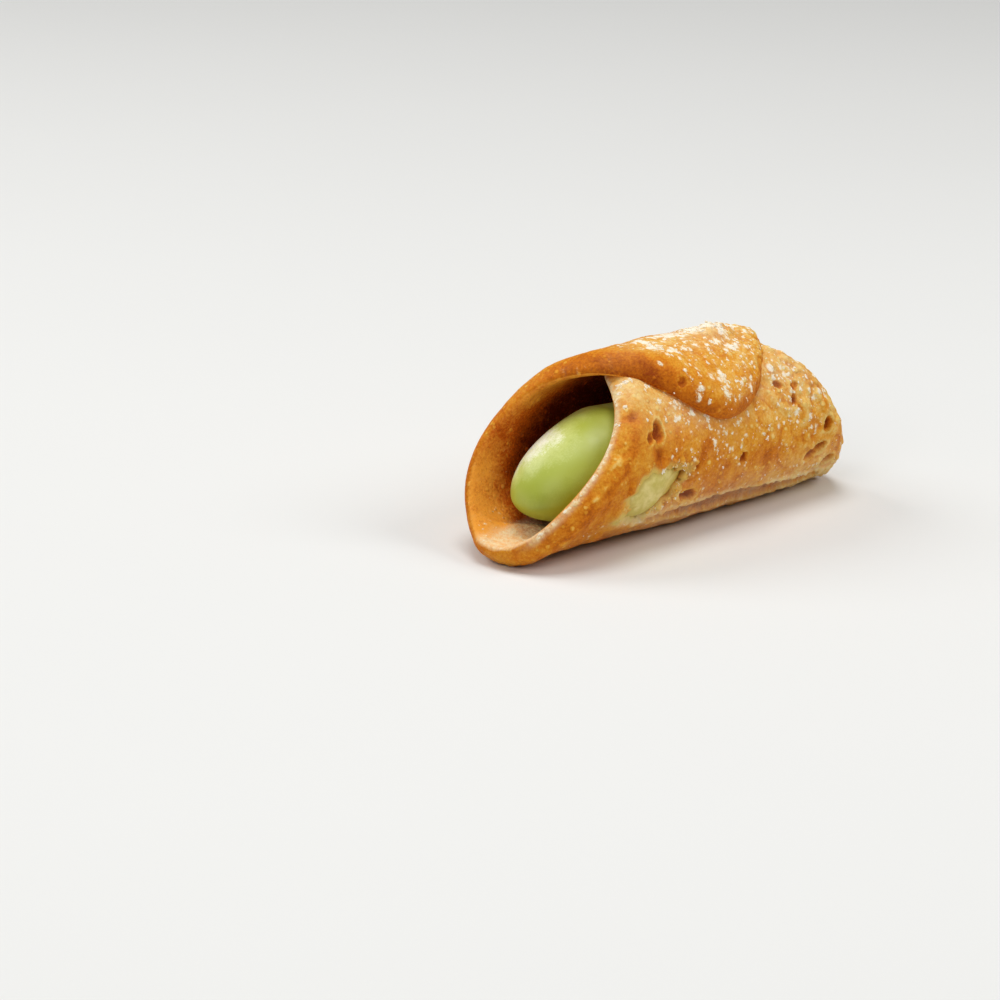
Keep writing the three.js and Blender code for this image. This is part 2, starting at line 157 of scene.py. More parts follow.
# Wider places that the sugar fell on: along, degrees round, half length, half width, amount.
DUSTED_PLACES = [
    (-18.6, -172, 2.2, 0.9, 0.45),
    (-8.0, -163, 9.0, 3.0, 0.10),
    (-14, -166, 7.0, 2.5, 0.16),
    (-8.0, 176, 2.6, 1.2, 0.34),
    (0, 186, 9.0, 3.0, 0.14),
    (1, 211, 6.0, 4.0, 0.16),
    (8, 164, 11.0, 1.8, 0.40),
    (0, 159, 14.0, 3.0, 0.34),
    (12, 194, 5.0, 7.0, 0.25),
    (3, 222, 6.0, 2.6, 0.30),
    (-5, 205, 5.0, 5.0, 0.16),
    (20, -110, 7.0, 5.0, 0.10),
    (2, -105, 5.0, 6.0, 0.14),
    (4, 226, 6.0, 2.0, 0.16),
    (0, -140, 12.0, 4.0, 0.12),
    (27, -136, 8.0, 4.0, 0.12),
    (30, -56, 8.0, 1.0, 0.18),
    (-42, -45, 7.0, 5.0, 0.12),
    (10, 60, 22.0, 14.0, 0.10),
]

# Soft patches: along, degrees round, half length, half turn in degrees, amount.
CRINKLED_PATCHES = [(24, -128, 7, 16, 1.0)]
BROWNED_PATCHES = [
    (1, -72, 15, 14, 0.12),
    (-17, -165, 8, 24, -0.20),
    (-6, 172, 9, 8, -0.12),
]
SUGARED_PATCHES = [(-24, -105, 9, 35, -0.14)]
VEILED_PATCHES = [
    (-1, -143, 15, 16, 0.60),
    (-19, -168, 5, 14, 0.60),
    (-6, 172, 9, 9, 0.20),
    (24, -150, 9, 22, 0.35),
]
VEILED_MOUND = (11, 170, 9, 4.5, 0.5, 12)

# Clumps of icing sugar: along, degrees round, radius.
SUGAR_CLUMPS = [
    (-7.3, 174, 1.3), (-6.0, 179, 0.7), (-5.2, 170, 0.6), (-5.4, 176, 0.8), (-3.8, 181, 0.6),
    (-6.2, 187, 0.6), (-19.6, -173, 0.5), (-18.5, -171.5, 0.6), (-17.2, -171, 0.6), (-3.5, 185, 0.7),
    (-6.6, 186, 0.5), (-6.4, 201, 0.5), (-6.1, 206, 0.5), (2.2, 209, 0.7), (2.1, 213, 0.6),
    (-4.6, 214, 0.7), (-5.5, 218, 0.7), (-3.4, 222, 0.4), (1.5, 222, 0.6), (1.0, 200, 0.4),
    (4.2, 190, 0.6), (6.9, 185, 0.6), (11.2, 192, 0.5), (0.1, 186, 0.4), (-10.4, 191, 0.4),
    (9.2, 216, 0.4), (10.0, 205, 0.3), (-11.0, 210, 0.3), (6.0, 217, 0.4), (8.1, 169, 0.8),
    (11.6, 178, 0.8), (-11.7, -135, 0.6), (-14.0, -150, 0.6), (-14.9, -163, 0.5), (-22.8, -153, 0.5),
    (-21.0, -166, 0.6), (-19.9, -139, 0.4), (-3.2, -129, 0.6), (-3.1, -124, 0.4), (-2.4, -113, 0.6),
    (-1.7, -107, 0.4), (1.3, -116, 0.5), (5.4, -104, 0.4), (11.9, -109, 0.4), (13.8, -113, 0.4),
    (-13.8, -115, 0.4), (-14.8, -111, 0.4), (4.1, -97, 0.4), (-17.2, -103, 0.6), (-11.0, -100, 0.6),
    (22.7, -130, 0.5), (25.0, -131, 0.5), (27.3, -129, 0.5), (21.6, -125, 0.4), (18.8, -149, 0.5),
    (32.1, -115, 0.4), (30.7, -72, 0.4), (25.9, -66, 0.4), (25.6, -160, 0.5), (10.0, -119, 0.3),
    (-25.8, -144, 0.5), (-18.1, -143, 0.4), (-14.3, -136, 0.5), (-9.9, -146, 0.5), (-8.5, -131, 0.4),
    (-16.1, -159, 0.4), (5.1, -121, 0.5), (13.0, -105, 0.4), (17.2, -125, 0.4), (8.1, -125, 0.5),
    (4.2, 224, 0.5), (8.4, 223, 0.4), (0.3, -93, 0.4), (26.6, -103, 0.4), (-9.3, -112, 0.4),
    (-36.0, 92, 0.6), (-12.0, 118, 0.7), (4.0, 104, 0.6), (20.0, 128, 0.7), (-4.0, 70, 0.5),
    (14.0, 88, 0.5), (28.0, 70, 0.6), (-22.0, 60, 0.5), (30.0, 150, 0.6),
]


def ramp(value, place, spread):
    """A step from 0 to 1 round a place, over about twice the spread."""
    return 0.5 * (1 + np.tanh((value - place) / spread))


def smooth_step(value, low, high):
    """A step from 0 at low to 1 at high."""
    share = np.clip((value - low) / (high - low), 0, 1)
    return share * share * (3 - 2 * share)


def band(value, middle, width):
    """A soft band, from 1 at its middle down to 0 past its width."""
    return np.exp(-(((value - middle) / width) ** 2))


def dome(distance, top=1.0):
    """A dome or a bowl over a spot, from its middle down to 0 past its edge."""
    return np.clip(top - distance**2, 0, 1)


def patches_at(dough, patches):
    """The sum of these soft patches at each place on the dough."""
    total = 0
    for along, degrees, half_length, half_turn, amount in patches:
        patch = band(dough.along, along, half_length) * band(dough.turn, degrees, half_turn)
        total = total + amount * patch
    return total


def reach_kept(share, blunt, taper, bell, power):
    """How much of its reach a rim keeps, at a share of the way round."""
    end = np.sqrt(np.maximum(1 - share**taper, 0))
    return blunt * end + (1 - blunt) * np.exp(-((share / bell) ** power))


def rim_along(round_, near_end):
    """Where the rim lies along the tube, at the near or the far end."""
    plain_share = np.minimum(np.abs(round_) / HALF_WRAP, 1)
    share = plain_share * np.tanh(plain_share / KEEL_ROUNDING)
    flap_rim = NEAR_FLAP_RIM if near_end else FAR_FLAP_RIM
    seam_rim = NEAR_SEAM_RIM if near_end else FAR_SEAM_RIM
    reach = -NEAR_REACH if near_end else FAR_REACH
    kept = np.where(round_ > 0, reach_kept(share, *flap_rim), reach_kept(share, *seam_rim))
    return TIP_LEAN * share**2 + reach * kept


def rims(round_):
    """Where the near and the far rim lie along the tube."""
    return rim_along(round_, True), rim_along(round_, False)


def swell(along, turn):
    """The slow waves that frying leaves in the sheet."""
    long = np.sin(along / 9 + 0.8) * np.cos(turn - 0.5)
    short = np.sin(along / 5.5 - 2 * turn + 2)
    return SWELL * (long + 0.6 * short)


def wrapped(along, round_):
    """The middle of the dough, as wrapped."""
    turn = round_ / TUBE_RADIUS
    end = along / NEAR_REACH
    lift = (DOUGH - LAP_SINK) * ramp(turn, LIFT_TURN, LIFT_SPREAD)
    hug = np.where(along < 0, FLAP_HUG * ramp(turn, HUG_TURN, HUG_SPREAD), 0)
    far_share = np.maximum(along / FAR_REACH, 0)
    droop = FAR_DROOP * far_share**DROOP_POWER * ramp(turn, DROOP_TURN, DROOP_SPREAD)
    taper = (END_TAPER + hug) * end**2 + droop - FAR_FLARE * end
    radius = TUBE_RADIUS + lift - taper + swell(along, turn)
    angle = turn + KEEL_TURN
    height = -radius * np.cos(angle) * (1 + HEIGHT_STRETCH)
    return np.stack([along, radius * np.sin(angle), height], axis=-1)


def unit(vectors):
    return vectors / np.linalg.norm(vectors, axis=-1, keepdims=True)


def directions_at(along, round_):
    """The directions along and round the wrapped dough and straight out of it."""
    step = 0.05
    along_way = unit(wrapped(along + step, round_) - wrapped(along - step, round_))
    round_way = unit(wrapped(along, round_ + step) - wrapped(along, round_ - step))
    return along_way, round_way, unit(np.cross(round_way, along_way))


def outline_places(count):
    """The flat outline of the sheet, as places (along, round)."""
    angle = 2 * pi * np.arange(count) / count
    round_ = HALF_WRAP * np.sin(angle)
    return np.stack([np.where(np.cos(angle) > 0, *rims(round_)), round_], axis=-1)


OUTLINE = outline_places(600)


def inset_at(along, round_):
    """How far in from the rim each place lies on the flat sheet."""
    places = np.stack([along, round_], axis=-1).reshape(-1, 2)
    starts = OUTLINE
    sides = np.roll(OUTLINE, -1, axis=0) - starts
    lengths = (sides**2).sum(axis=1)
    insets = np.empty(len(places))
    for first in range(0, len(places), 4000):
        offsets = places[first : first + 4000, None, :] - starts[None]
        share = np.clip((offsets * sides[None]).sum(axis=2) / lengths[None], 0, 1)
        misses = offsets - share[..., None] * sides[None]
        insets[first : first + 4000] = np.sqrt((misses**2).sum(axis=2).min(axis=1))
    return insets.reshape(np.shape(along))


def roll(inset, width):
    """How far a rim this wide has rolled up, from 0 at the edge to 1 past the roll."""
    return np.sqrt(1 - (1 - np.minimum(inset / width, 1)) ** 2)


def outer_height(along, inset):
    lip = LIP_HEIGHT * (1 - ramp(along, LIP_END, LIP_FADE))
    crest = lip * band(inset, RIM_OUTER_ROLL, LIP_WIDTH)
    return RIM_NOSE + (DOUGH / 2 - RIM_NOSE + crest) * roll(inset, RIM_OUTER_ROLL)


def inner_height(inset):
    return RIM_NOSE - (DOUGH / 2 + RIM_NOSE) * roll(inset, RIM_INNER_ROLL)


def noise_at(points, size, shift=0.0):
    """Smooth noise from about -1 to 1 whose lumps are about this size."""
    scaled = points.reshape(-1, 3) / size + shift
    values = np.fromiter((noise.noise(point) for point in scaled.tolist()), float, len(scaled))
    return values.reshape(points.shape[:-1]) * 1.4


def bubbles_at(points, size, shift=0.0):
    """Round bubbles about this size, from 0 between them to 1 on top."""
    scaled = points.reshape(-1, 3) / size + shift
    distances = (noise.voronoi(point)[0][0] for point in scaled.tolist())
    nearest = np.fromiter(distances, float, len(scaled))
    return smooth_step(0.62 - nearest.reshape(points.shape[:-1]), 0, 0.5)


def spot_axes(along, round_, spot):
    """Where each place lies along and across a spot: 1 at its tip and 1 at its side."""
    spot_along, degrees, length, width, _, slant = spot
    along_off = along - spot_along
    round_off = round_ - radians(degrees) * TUBE_RADIUS
    # A slant turns from along the tube against the way round.
    turned = radians(slant)
    length_wise = along_off * cos(turned) - round_off * sin(turned)
    width_wise = along_off * sin(turned) + round_off * cos(turned)
    return length_wise / length, width_wise / width


def spot_distance(along, round_, spot):
    """How far from a spot's middle each place lies: 1 on its edge."""
    return np.hypot(*spot_axes(along, round_, spot))


def tear_ragged(angle):
    """How far out the tear's outline lies at an angle, against an even oval."""
    coarse = np.sin(3 * angle + 1) + 0.6 * np.sin(7 * angle) - 0.4
    fine = 0.35 * np.sin(13 * angle + 0.7) + 0.25 * np.sin(22 * angle + 2)
    return 1 + TEAR_RAGGED * (coarse + fine)


def tear_axes(along, round_):
    """Where each place lies along and across the tear: 1 at its tip and 1 at its side."""
    along_off = along - TEAR["along"]
    round_off = round_ - TEAR["round"]
    turn_cos, turn_sin = cos(TEAR["slant"]), sin(TEAR["slant"])
    length_wise = (along_off * turn_cos + round_off * turn_sin) / TEAR["length"]
    width_wise = (round_off * turn_cos - along_off * turn_sin) / TEAR["width"]
    return length_wise, width_wise


def tear_places(angle, share):
    """The places at an angle round the tear, at a share of the way out to its even oval."""
    length_wise = TEAR["length"] * share * np.cos(angle)
    width_wise = TEAR["width"] * share * np.sin(angle)
    turn_cos, turn_sin = cos(TEAR["slant"]), sin(TEAR["slant"])
    along = TEAR["along"] + length_wise * turn_cos - width_wise * turn_sin
    return along, TEAR["round"] + length_wise * turn_sin + width_wise * turn_cos


def tear_share(along, round_):
    """Where each place lies against the tear: 1 on its outline and less inside."""
    length_wise, width_wise = tear_axes(along, round_)
    return np.hypot(length_wise, width_wise) / tear_ragged(np.arctan2(width_wise, length_wise))


def covered_by_flap(along, round_):
    """Where the seam side lies hidden under the flap."""
    over = round_ + 2 * pi * TUBE_RADIUS
    near, far = rims(over)
    return (over < HALF_WRAP - 0.5) & (along > near) & (along < far)


def to_part(points):
    """From the tube's own frame in millimetres to the part's frame in metres."""
    return (points + TUBE_PLACE) / 1000


class Dough:
    """The dough's surfaces, with their relief, at any places on the sheet."""

    def __init__(self, along, round_, relief):
        self.along = along
        self.round = round_
        self.inset = inset_at(along, round_)
        self.middle = wrapped(along, round_)
        self.along_way, self.round_way, self.out = directions_at(along, round_)
        self.turn = np.degrees(round_ / TUBE_RADIUS)
        self.near_half = 1 - ramp(along, 5, 5)
        self.raised = self.relief_height(relief)

    def distance_to(self, spot):
        return spot_distance(self.along, self.round, spot)

    def relief_height(self, relief):
        """The height of all the relief outside, with the masks that the finish reads."""
        # The flap is a layer of its own, so its lumps differ from those beneath it.
        layered = self.middle + np.where(self.round > FLAP_LAYER, 200.0, 0.0)[..., None]
        height = relief * (self.fried_height(layered) + self.welt_height())
        height += self.spot_height(layered) + self.sugar_height(layered)
        return height + self.torn_height(layered)

    def fried_height(self, layered):
        """Lumps, small bubbles and wrinkles that frying left all over."""
        drawn_out = np.stack([self.along / 1.5, self.round / 6, 0 * self.along + 3], axis=-1)
        lumps = 0.24 * noise_at(layered, 7.5) + 0.17 * noise_at(layered, 3.4, 11)
        fine = 0.08 * noise_at(layered, 1.5, 23) + 0.10 * noise_at(drawn_out, 1.0, 17)
        wrinkles = (1 - np.clip(np.abs(noise_at(layered, 4.2, 57)) * 2.2, 0, 1)) ** 3
        # The flap's side of the near rim rose smoothly, and the seam's side blistered.
        self.calm = ramp(self.turn, 15, 20) * self.near_half * band(self.inset, 0, 9)
        crinkled = patches_at(self, CRINKLED_PATCHES)
        bubbly = 0.25 + 0.75 * ramp(self.along, 14, 6) + 0.5 * crinkled
        bubbly += 0.5 * band(self.inset, 1.8, 1.6) * (1 - self.calm)
        bubbles = 0.75 * bubbles_at(layered, 2.7, 5) + 0.45 * bubbles_at(layered, 1.35, 8)
        self.popped = bubbly * bubbles
        self.wrinkled = wrinkles * (0.4 + 0.6 * ramp(self.along, 8, 8) + 0.9 * crinkled)
        fried = BUBBLE_HEIGHT * self.popped - WRINKLE_DEPTH * self.wrinkled
        return (lumps + fine + fried) * (1 - 0.75 * self.calm)

    def welt_height(self):
        """Small welts along the rim of the seam's side, where streaks browned behind them."""
        beside_rim = np.stack([self.inset, self.round / 1.3, 0 * self.along], axis=-1)
        self.streaks = noise_at(beside_rim, 1.3, 29)
        self.seam_side = ramp(-self.turn, 32, 10) * self.near_half
        broken = smooth_step(noise_at(beside_rim, 2.6, 43), -0.5, 0.4)
        where = self.seam_side * ramp(self.turn, -135, 8) * band(self.inset, 1.9, 0.9)
        self.welts = bubbles_at(beside_rim, 1.5, 29) * where * broken
        return WELT_HEIGHT * self.welts

    def spot_height(self, layered):
        """Burst bubbles, the crease, soft hollows and blisters."""
        height = np.zeros_like(self.along)
        self.pitted, self.pit_edge, self.stained = height.copy(), height.copy(), height.copy()
        uneven = 1 + 0.16 * noise_at(layered, 1.3, 71)
        for spot in [*PITS, CREASE]:
            depth = spot[4]
            distance = self.distance_to(spot) * uneven
            bowl = np.sqrt(dome(distance))
            edge = band(distance, 1.15, 0.22) * min(depth, 1)
            height += PIT_EDGE_HEIGHT * edge - PIT_DEEPENING * depth * bowl
            # The crease is darkened by painted shade, and the pits by browning that is partly painted
            # shade.
            darkening = CREASE_SHADE if spot is CREASE else min(depth / 0.7, 1)
            self.pitted = np.maximum(self.pitted, bowl * darkening)
            self.pit_edge = np.maximum(self.pit_edge, edge)
        for spot in DIMPLES:
            hollow = np.exp(-1.2 * (self.distance_to(spot) * uneven) ** 2)
            height -= spot[4] * hollow
            self.stained = np.maximum(self.stained, hollow * min(spot[4] / 0.5, 1))
        for spot in BLISTERS:
            height += spot[4] * np.sqrt(dome(self.distance_to(spot)))
        return height

    def sugar_height(self, layered):
        """The mound of sugar on top, and the heap under each clump."""
        fluff = noise_at(layered, 1.1, 7) + 0.6 * noise_at(layered, 0.55, 19)
        height = SUGAR_MOUND[4] * dome(self.distance_to(SUGAR_MOUND)) * (1 + 0.3 * fluff)
        for along, degrees, radius in SUGAR_CLUMPS:
            heap = dome(self.distance_to((along, degrees, 0.7 * radius, radius, 0, 0)), 1.2)
            height += CLUMP_HEIGHT * radius * heap
        return height

    def torn_height(self, layered):
        """The torn edge is rounded over, with flakes of crust round its head."""
        share = tear_share(self.along, self.round)
        length_wise, width_wise = tear_axes(self.along, self.round)
        beyond = (share - 1) * 5
        crusty = ramp(length_wise + 0.5 * width_wise, 0.35, 0.25)
        flakes = 0.9 * bubbles_at(layered, 2.1, 31) + 0.5 * bubbles_at(layered, 1.1, 37)
        rounded = (0.75 - 0.15 * crusty) * band(beyond, 0, 1.6 - 1.1 * crusty)
        self.crumbly = band(beyond, 1.3, 1.2) * (0.12 + 0.88 * crusty)
        self.flaky = self.crumbly * flakes
        smear = band(beyond, 0, 1.7) * (0.75 - 0.25 * crusty)
        foot = band(length_wise, -1.22, 0.30) * band(width_wise, 0, 0.55)
        self.creamy = np.maximum(smear, foot)
        return 1.1 * self.flaky - 0.25 * self.crumbly - rounded

    def outside(self):
        height = outer_height(self.along, self.inset) + self.raised
        points = self.middle + self.out * height[..., None]
        # The keel is flattened where it rests, with an eased edge.
        floor = -TUBE_PLACE[2]
        above = np.maximum(points[..., 2] - floor, 0)
        points[..., 2] = floor + above * smooth_step(above, 0, FLOOR_EASE)
        return points

    def inside(self):
        lumps = 0.10 * noise_at(self.middle, 5, 3) + 0.05 * noise_at(self.middle, 1.8, 9)
        height = inner_height(self.inset) + lumps * np.minimum(self.inset, 1)
        # The crest falls gently towards the mouth and steeply towards the cream.
        along_crest, across_crest = spot_axes(self.along, self.round, KEEL_CREST)
        steep = np.where(across_crest > 0, 2.6, 1.0)
        height -= KEEL_CREST[4] * np.exp(-(along_crest**2) - (steep * across_crest) ** 2)
        return self.middle + self.out * height[..., None]


# ---------------------------------------------------------------------------------------
# Meshes.


def new_piece(name, points, faces, material, node=None):
    """A smooth mesh object in the part's frame, riding on the root."""
    mesh = bpy.data.meshes.new(name)
    mesh.from_pydata(to_part(points).tolist(), [], faces)
    mesh.shade_smooth()
    mesh.materials.append(material)
    piece = bpy.data.objects.new(name, mesh)
    bpy.context.scene.collection.objects.link(piece)
    if node:
        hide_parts(node)
    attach(piece, "root")
    return piece


def set_attribute(piece, name, values):
    """A value for each vertex that the materials read by name."""
    kind = "FLOAT_VECTOR" if np.ndim(values) == 2 else "FLOAT"
    attribute = piece.data.attributes.new(name, kind, "POINT")
    field = "vector" if kind == "FLOAT_VECTOR" else "value"
    attribute.data.foreach_set(field, np.asarray(values, dtype=np.float32).ravel())


def spaced(cells):
    """Grid lines from -1 to 1, closer together towards both ends."""
    return np.sin(0.4 * pi * np.linspace(-1, 1, cells + 1)) / sin(0.4 * pi)


def sheet_grid(cells_round, cells_along):
    """Places (along, round) of an even grid laid over the oval sheet, rim to rim."""
    across, down = np.meshgrid(spaced(cells_round), spaced(cells_along), indexing="ij")
    disc_round = across * np.sqrt(1 - down**2 / 2)
    disc_along = down * np.sqrt(1 - across**2 / 2)
    half_chord = np.sqrt(np.maximum(1 - disc_round**2, 1e-12))
    share = np.clip(disc_along / half_chord, -1, 1)
    round_ = HALF_WRAP * disc_round
    near, far = rims(round_)
    return near + (far - near) * (share + 1) / 2, round_


def snap_to_tear(along, round_, torn):
    """Moves the grid's vertices round the torn cells on to the tear's outline, and eases the
    cells beside them."""
    in_torn = np.zeros(along.shape, bool)
    in_kept = np.zeros(along.shape, bool)
    for across, down in np.ndindex(torn.shape):
        block = np.s_[2 * across : 2 * across + 3, 2 * down : 2 * down + 3]
        (in_torn if torn[across, down] else in_kept)[block] = True
    edge = in_torn & in_kept
    share = tear_share(along, round_)
    along[edge] = TEAR["along"] + (along[edge] - TEAR["along"]) / share[edge]
    round_[edge] = TEAR["round"] + (round_[edge] - TEAR["round"]) / share[edge]
    near = (share > 0.9) & (share < 1.7) & ~edge & ~in_torn
    near[[0, -1], :] = near[:, [0, -1]] = False
    for _ in range(12):
        for values in (along, round_):
            beside = [np.roll(values, step, axis) for axis in (0, 1) for step in (1, -1)]
            values[near] = (sum(beside) / 4)[near]


def shell_faces(cells_round, cells_along, torn):
    """Faces of the shell: fine cells outside, cells of two by two inside, a shared rim, and
    the wall of the tear. Returns them with the grid places of the inner vertices."""
    width = cells_along + 1
    outer = np.arange((cells_round + 1) * width).reshape(cells_round + 1, width)
    inner = outer.copy()
    inner_places = [(i, j) for i in range(2, cells_round, 2) for j in range(2, cells_along, 2)]
    for index, (across, down) in enumerate(inner_places):
        inner[across, down] = outer.size + index
    faces = []
    for across in range(0, cells_round, 2):
        for down in range(0, cells_along, 2):
            if torn[across // 2, down // 2]:
                continue
            for i in (across, across + 1):
                for j in (down, down + 1):
                    cell = outer[i : i + 2, j : j + 2]
                    faces.append((cell[0, 0], cell[1, 0], cell[1, 1], cell[0, 1]))
            corners = [(across + i, down + j) for i, j in ((0, 0), (2, 0), (2, 2), (0, 2))]
            loop = []
            for start, end in zip(corners, corners[1:] + corners[:1]):
                middle = ((start[0] + end[0]) // 2, (start[1] + end[1]) // 2)
                # The neighbour lies past the middle of this side.
                beyond = (middle[0] - across - 1, middle[1] - down - 1)
                neighbour = (across // 2 + beyond[0], down // 2 + beyond[1])
                loop.append(inner[start])
                if not all(0 <= n < size for n, size in zip(neighbour, torn.shape)):
                    loop.append(outer[middle])
                elif torn[neighbour]:
                    wall = (outer[end], outer[middle], outer[start], inner[start], inner[end])
                    faces.append(wall)
            faces.append(tuple(reversed(loop)))
    return faces, inner_places


def make_shell(settings, material):
    cells_round, cells_along = settings.cells_round, settings.cells_along
    along, round_ = sheet_grid(cells_round, cells_along)
    torn = tear_share(along[1::2, 1::2], round_[1::2, 1::2]) < 1
    snap_to_tear(along, round_, torn)
    faces, inner_places = shell_faces(cells_round, cells_along, torn)
    dough = Dough(along, round_, settings.relief)
    rows, columns = np.array(inner_places).T

    def both(outer, inner):
        """The outer vertices' values, then the inner ones'."""
        return np.concatenate([outer.reshape(-1, *outer.shape[2:]), inner[rows, columns]])

    points = both(dough.outside(), dough.inside())
    none = np.zeros_like(along)
    place = np.stack([along, round_, none], axis=-1) / 1000
    values = {
        "browned": both(outer_browning_and_shade(dough), inner_browning_and_shade(dough)),
        "sugared": both(outer_sugared(dough), inner_sugared(dough)),
        "coated": both(outer_coated(dough), inner_coated(dough)),
        "heaped": both(outer_heaped(dough), inner_heaped(dough)),
        "creamy": both(dough.creamy, none),
        "within": both(none, none + 1),
        "place": both(place, place),
    }
    # Grid vertices inside the tear carry no face.
    used = np.unique(np.concatenate([np.array(face) for face in faces]))
    renumbered = np.full(len(points), -1)
    renumbered[used] = np.arange(len(used))
    faces = [tuple(renumbered[list(face)].tolist()) for face in faces]
    piece = new_piece("fried_shell", points[used], faces, material, "shell")
    for name, numbers in values.items():
        set_attribute(piece, name, numbers[used])


def outer_browning_and_shade(dough):
    """How browned the outside is, with painted shade added under the lip, in the crease and on the
    underside, from pale at 0 to the darkest at 1.
    """
    along, inset, turn, near_half = dough.along, dough.inset, dough.turn, dough.near_half
    up = dough.out[..., 2]
    lip_foot_shade, lip_inner_shade = lip_shade_bands(dough)
    # Painted shade on the face of the rolled lip that turns down into the mouth.
    lip_face_shade = smooth_step(inset, 5.8, 1.6) * near_half
    lip_face_shade *= ramp(turn, 148, 10) * (1 - ramp(turn, 198, 8))
    behind_welts = band(inset, 4.0, 1.5) * dough.seam_side * ramp(turn, -140, 10)
    drawn_out = np.stack([along / 2, dough.round / 9, 0 * along], axis=-1)
    browned = 0.38 + 0.40 * lip_foot_shade + 0.20 * lip_inner_shade + 0.36 * lip_face_shade
    browned += behind_welts * (0.12 + 0.20 * dough.streaks) - 0.50 * dough.welts
    browned += patches_at(dough, BROWNED_PATCHES)
    browned -= 0.10 * ramp(along, 14, 8) + 0.05 * ramp(turn, 120, 15) * ramp(along, -4, 5)
    # Darker in the hollows, the pits and the crease, where the crease and partly the pits carry
    # painted shade; lighter on the pits' raised edges.
    browned += 0.50 * dough.stained + 0.72 * dough.pitted - 0.30 * dough.pit_edge
    browned += 0.25 * dough.crumbly - 0.55 * dough.flaky
    browned += 0.24 * dough.wrinkled * (1 - dough.calm) - 0.24 * dough.popped * ramp(along, 5, 8)
    browned += 0.07 * noise_at(dough.middle, 9, 41) + 0.07 * noise_at(drawn_out, 1.0, 47)
    browned += 0.06 * noise_at(dough.middle, 3.2, 59) * (1 - 0.6 * dough.calm)
    # Painted shade on the underside, where the dough faces down.
    browned += 0.08 * smooth_step(-up, -0.3, 0.2)
    return np.clip(browned, 0, 1.2)


def lip_shade_bands(dough):
    """Painted shade at the foot of the rolled lip, under the flap's edge, and on the lip's inner edge.
    """
    foot = band(dough.inset, 0, 2.5) * ramp(dough.turn, 190, 12)
    inner = band(dough.inset, 0, 1.9) * ramp(dough.turn, 10, 20) * dough.near_half
    return foot, inner * (1 - ramp(dough.turn, 150, 10))


def outer_sugared(dough):
    """How much sugar was dusted on the outside."""
    up = dough.out[..., 2]
    lip_foot_shade, lip_inner_shade = lip_shade_bands(dough)
    sugared = 0.26 + 0.22 * smooth_step(up, -0.3, 0.7) + 0.06 * smooth_step(-up, 0.1, 0.7)
    sugared += 0.06 * ramp(dough.along, 8, 8) + 0.14 * noise_at(dough.middle, 6, 53)
    sugared -= 0.42 * band(dough.inset, 3.5, 4.5) * dough.near_half
    sugared -= 0.35 * lip_foot_shade + 0.2 * lip_inner_shade
    sugared += patches_at(dough, SUGARED_PATCHES)
    sugared += 0.20 * dough.crumbly - 0.5 * dough.pitted - 0.3 * dough.stained
    for along, degrees, length, width, amount in DUSTED_PLACES:
        spot = (along, degrees, length, width, 0, 0)
        sugared += amount * band(dough.distance_to(spot), 0, 1)
    return np.clip(sugared + 0.30 * outer_heaped(dough), 0, 1.2)


def rim_line(dough, width):
    """The thin line of sugar on the rim of the seam's side."""
    return band(dough.inset, 0, width) * dough.seam_side * ramp(-dough.turn, 55, 8)


def outer_heaped(dough):
    """Where the sugar lies in soft heaps: on the mound and the clumps."""
    broken = 1 + 0.40 * noise_at(dough.middle, 1.6, 83)
    heaped = np.clip(1.25 - dough.distance_to(MOUND_SUGAR) * broken, 0, 1)
    for along, degrees, radius in SUGAR_CLUMPS:
        distance = dough.distance_to((along, degrees, radius, 1.15 * radius, 0, 0))
        heaped = np.maximum(heaped, band(distance * broken, 0, 1))
    return np.maximum(heaped, 0.55 * rim_line(dough, 0.4) * broken)


def outer_coated(dough):
    """Where an even veil of fine sugar lies on the outside."""
    under = smooth_step(-dough.out[..., 2], 0.1, 0.7) * ramp(dough.along, -22, 6)
    crease_edge = band(dough.distance_to(CREASE), 1.2, 0.2) * (dough.round < -17)
    mound = band(dough.distance_to(VEILED_MOUND), 0, 1)
    coated = rim_line(dough, 0.45) + patches_at(dough, VEILED_PATCHES) + VEILED_MOUND[4] * mound
    coated = coated * (1 - 0.8 * dough.pitted) + 0.40 * under + 0.45 * crease_edge
    return np.clip(coated * (1 + 0.4 * noise_at(dough.middle, 3, 67)), 0, 1)


def inner_browning_and_shade(dough):
    """Inside, the dough is golden by the rim and darkens to red-brown further into the tube, painted
    shade that is lighter on the keel and darker up the flank.
    """
    keel = band(dough.round, 0, 18)
    deep_shade = smooth_step(dough.inset + 4 * (1 - keel), 5.5, 18)
    flank = band(dough.turn, 104, 17)
    roof = ramp(dough.turn, 126, 6)
    browned = 0.18 + 0.74 * deep_shade * (1 - 0.30 * roof) - 0.12 * keel + 0.28 * flank * (1 - deep_shade)
    return browned + 0.06 * noise_at(dough.middle, 5, 61)


def inner_sugared(dough):
    """Inside, most of the sugar lies on the tip of the keel."""
    return 0.12 + 0.22 * band(dough.round, 0, 15) * smooth_step(dough.along, -28, -42)


def inner_coated(dough):
    """A veil of sugar lies on the keel in front of the cream."""
    along, round_ = dough.along, dough.round
    uneven = 2.5 * noise_at(dough.middle, 4, 91)
    across = smooth_step(round_ + uneven, 6, 0) * smooth_step(round_ + uneven, -24, -12)
    return across * (smooth_step(along, -26, -33) + 0.5 * smooth_step(along, 30, 38))


def inner_heaped(dough):
    """The veil is thickest where it drifted against the cream."""
    drift = band(dough.along, -39, 5)
    uneven = 1 + 0.5 * noise_at(dough.middle, 2.0, 83)
    return inner_coated(dough) * (0.30 + 0.14 * drift) * uneven


def cream_room(along):
    end = along / NEAR_REACH
    middle_of_dough = TUBE_RADIUS + FAR_FLARE * end - END_TAPER * end**2 - 1.6 * SWELL
    return middle_of_dough - DOUGH / 2 - CREAM_GAP


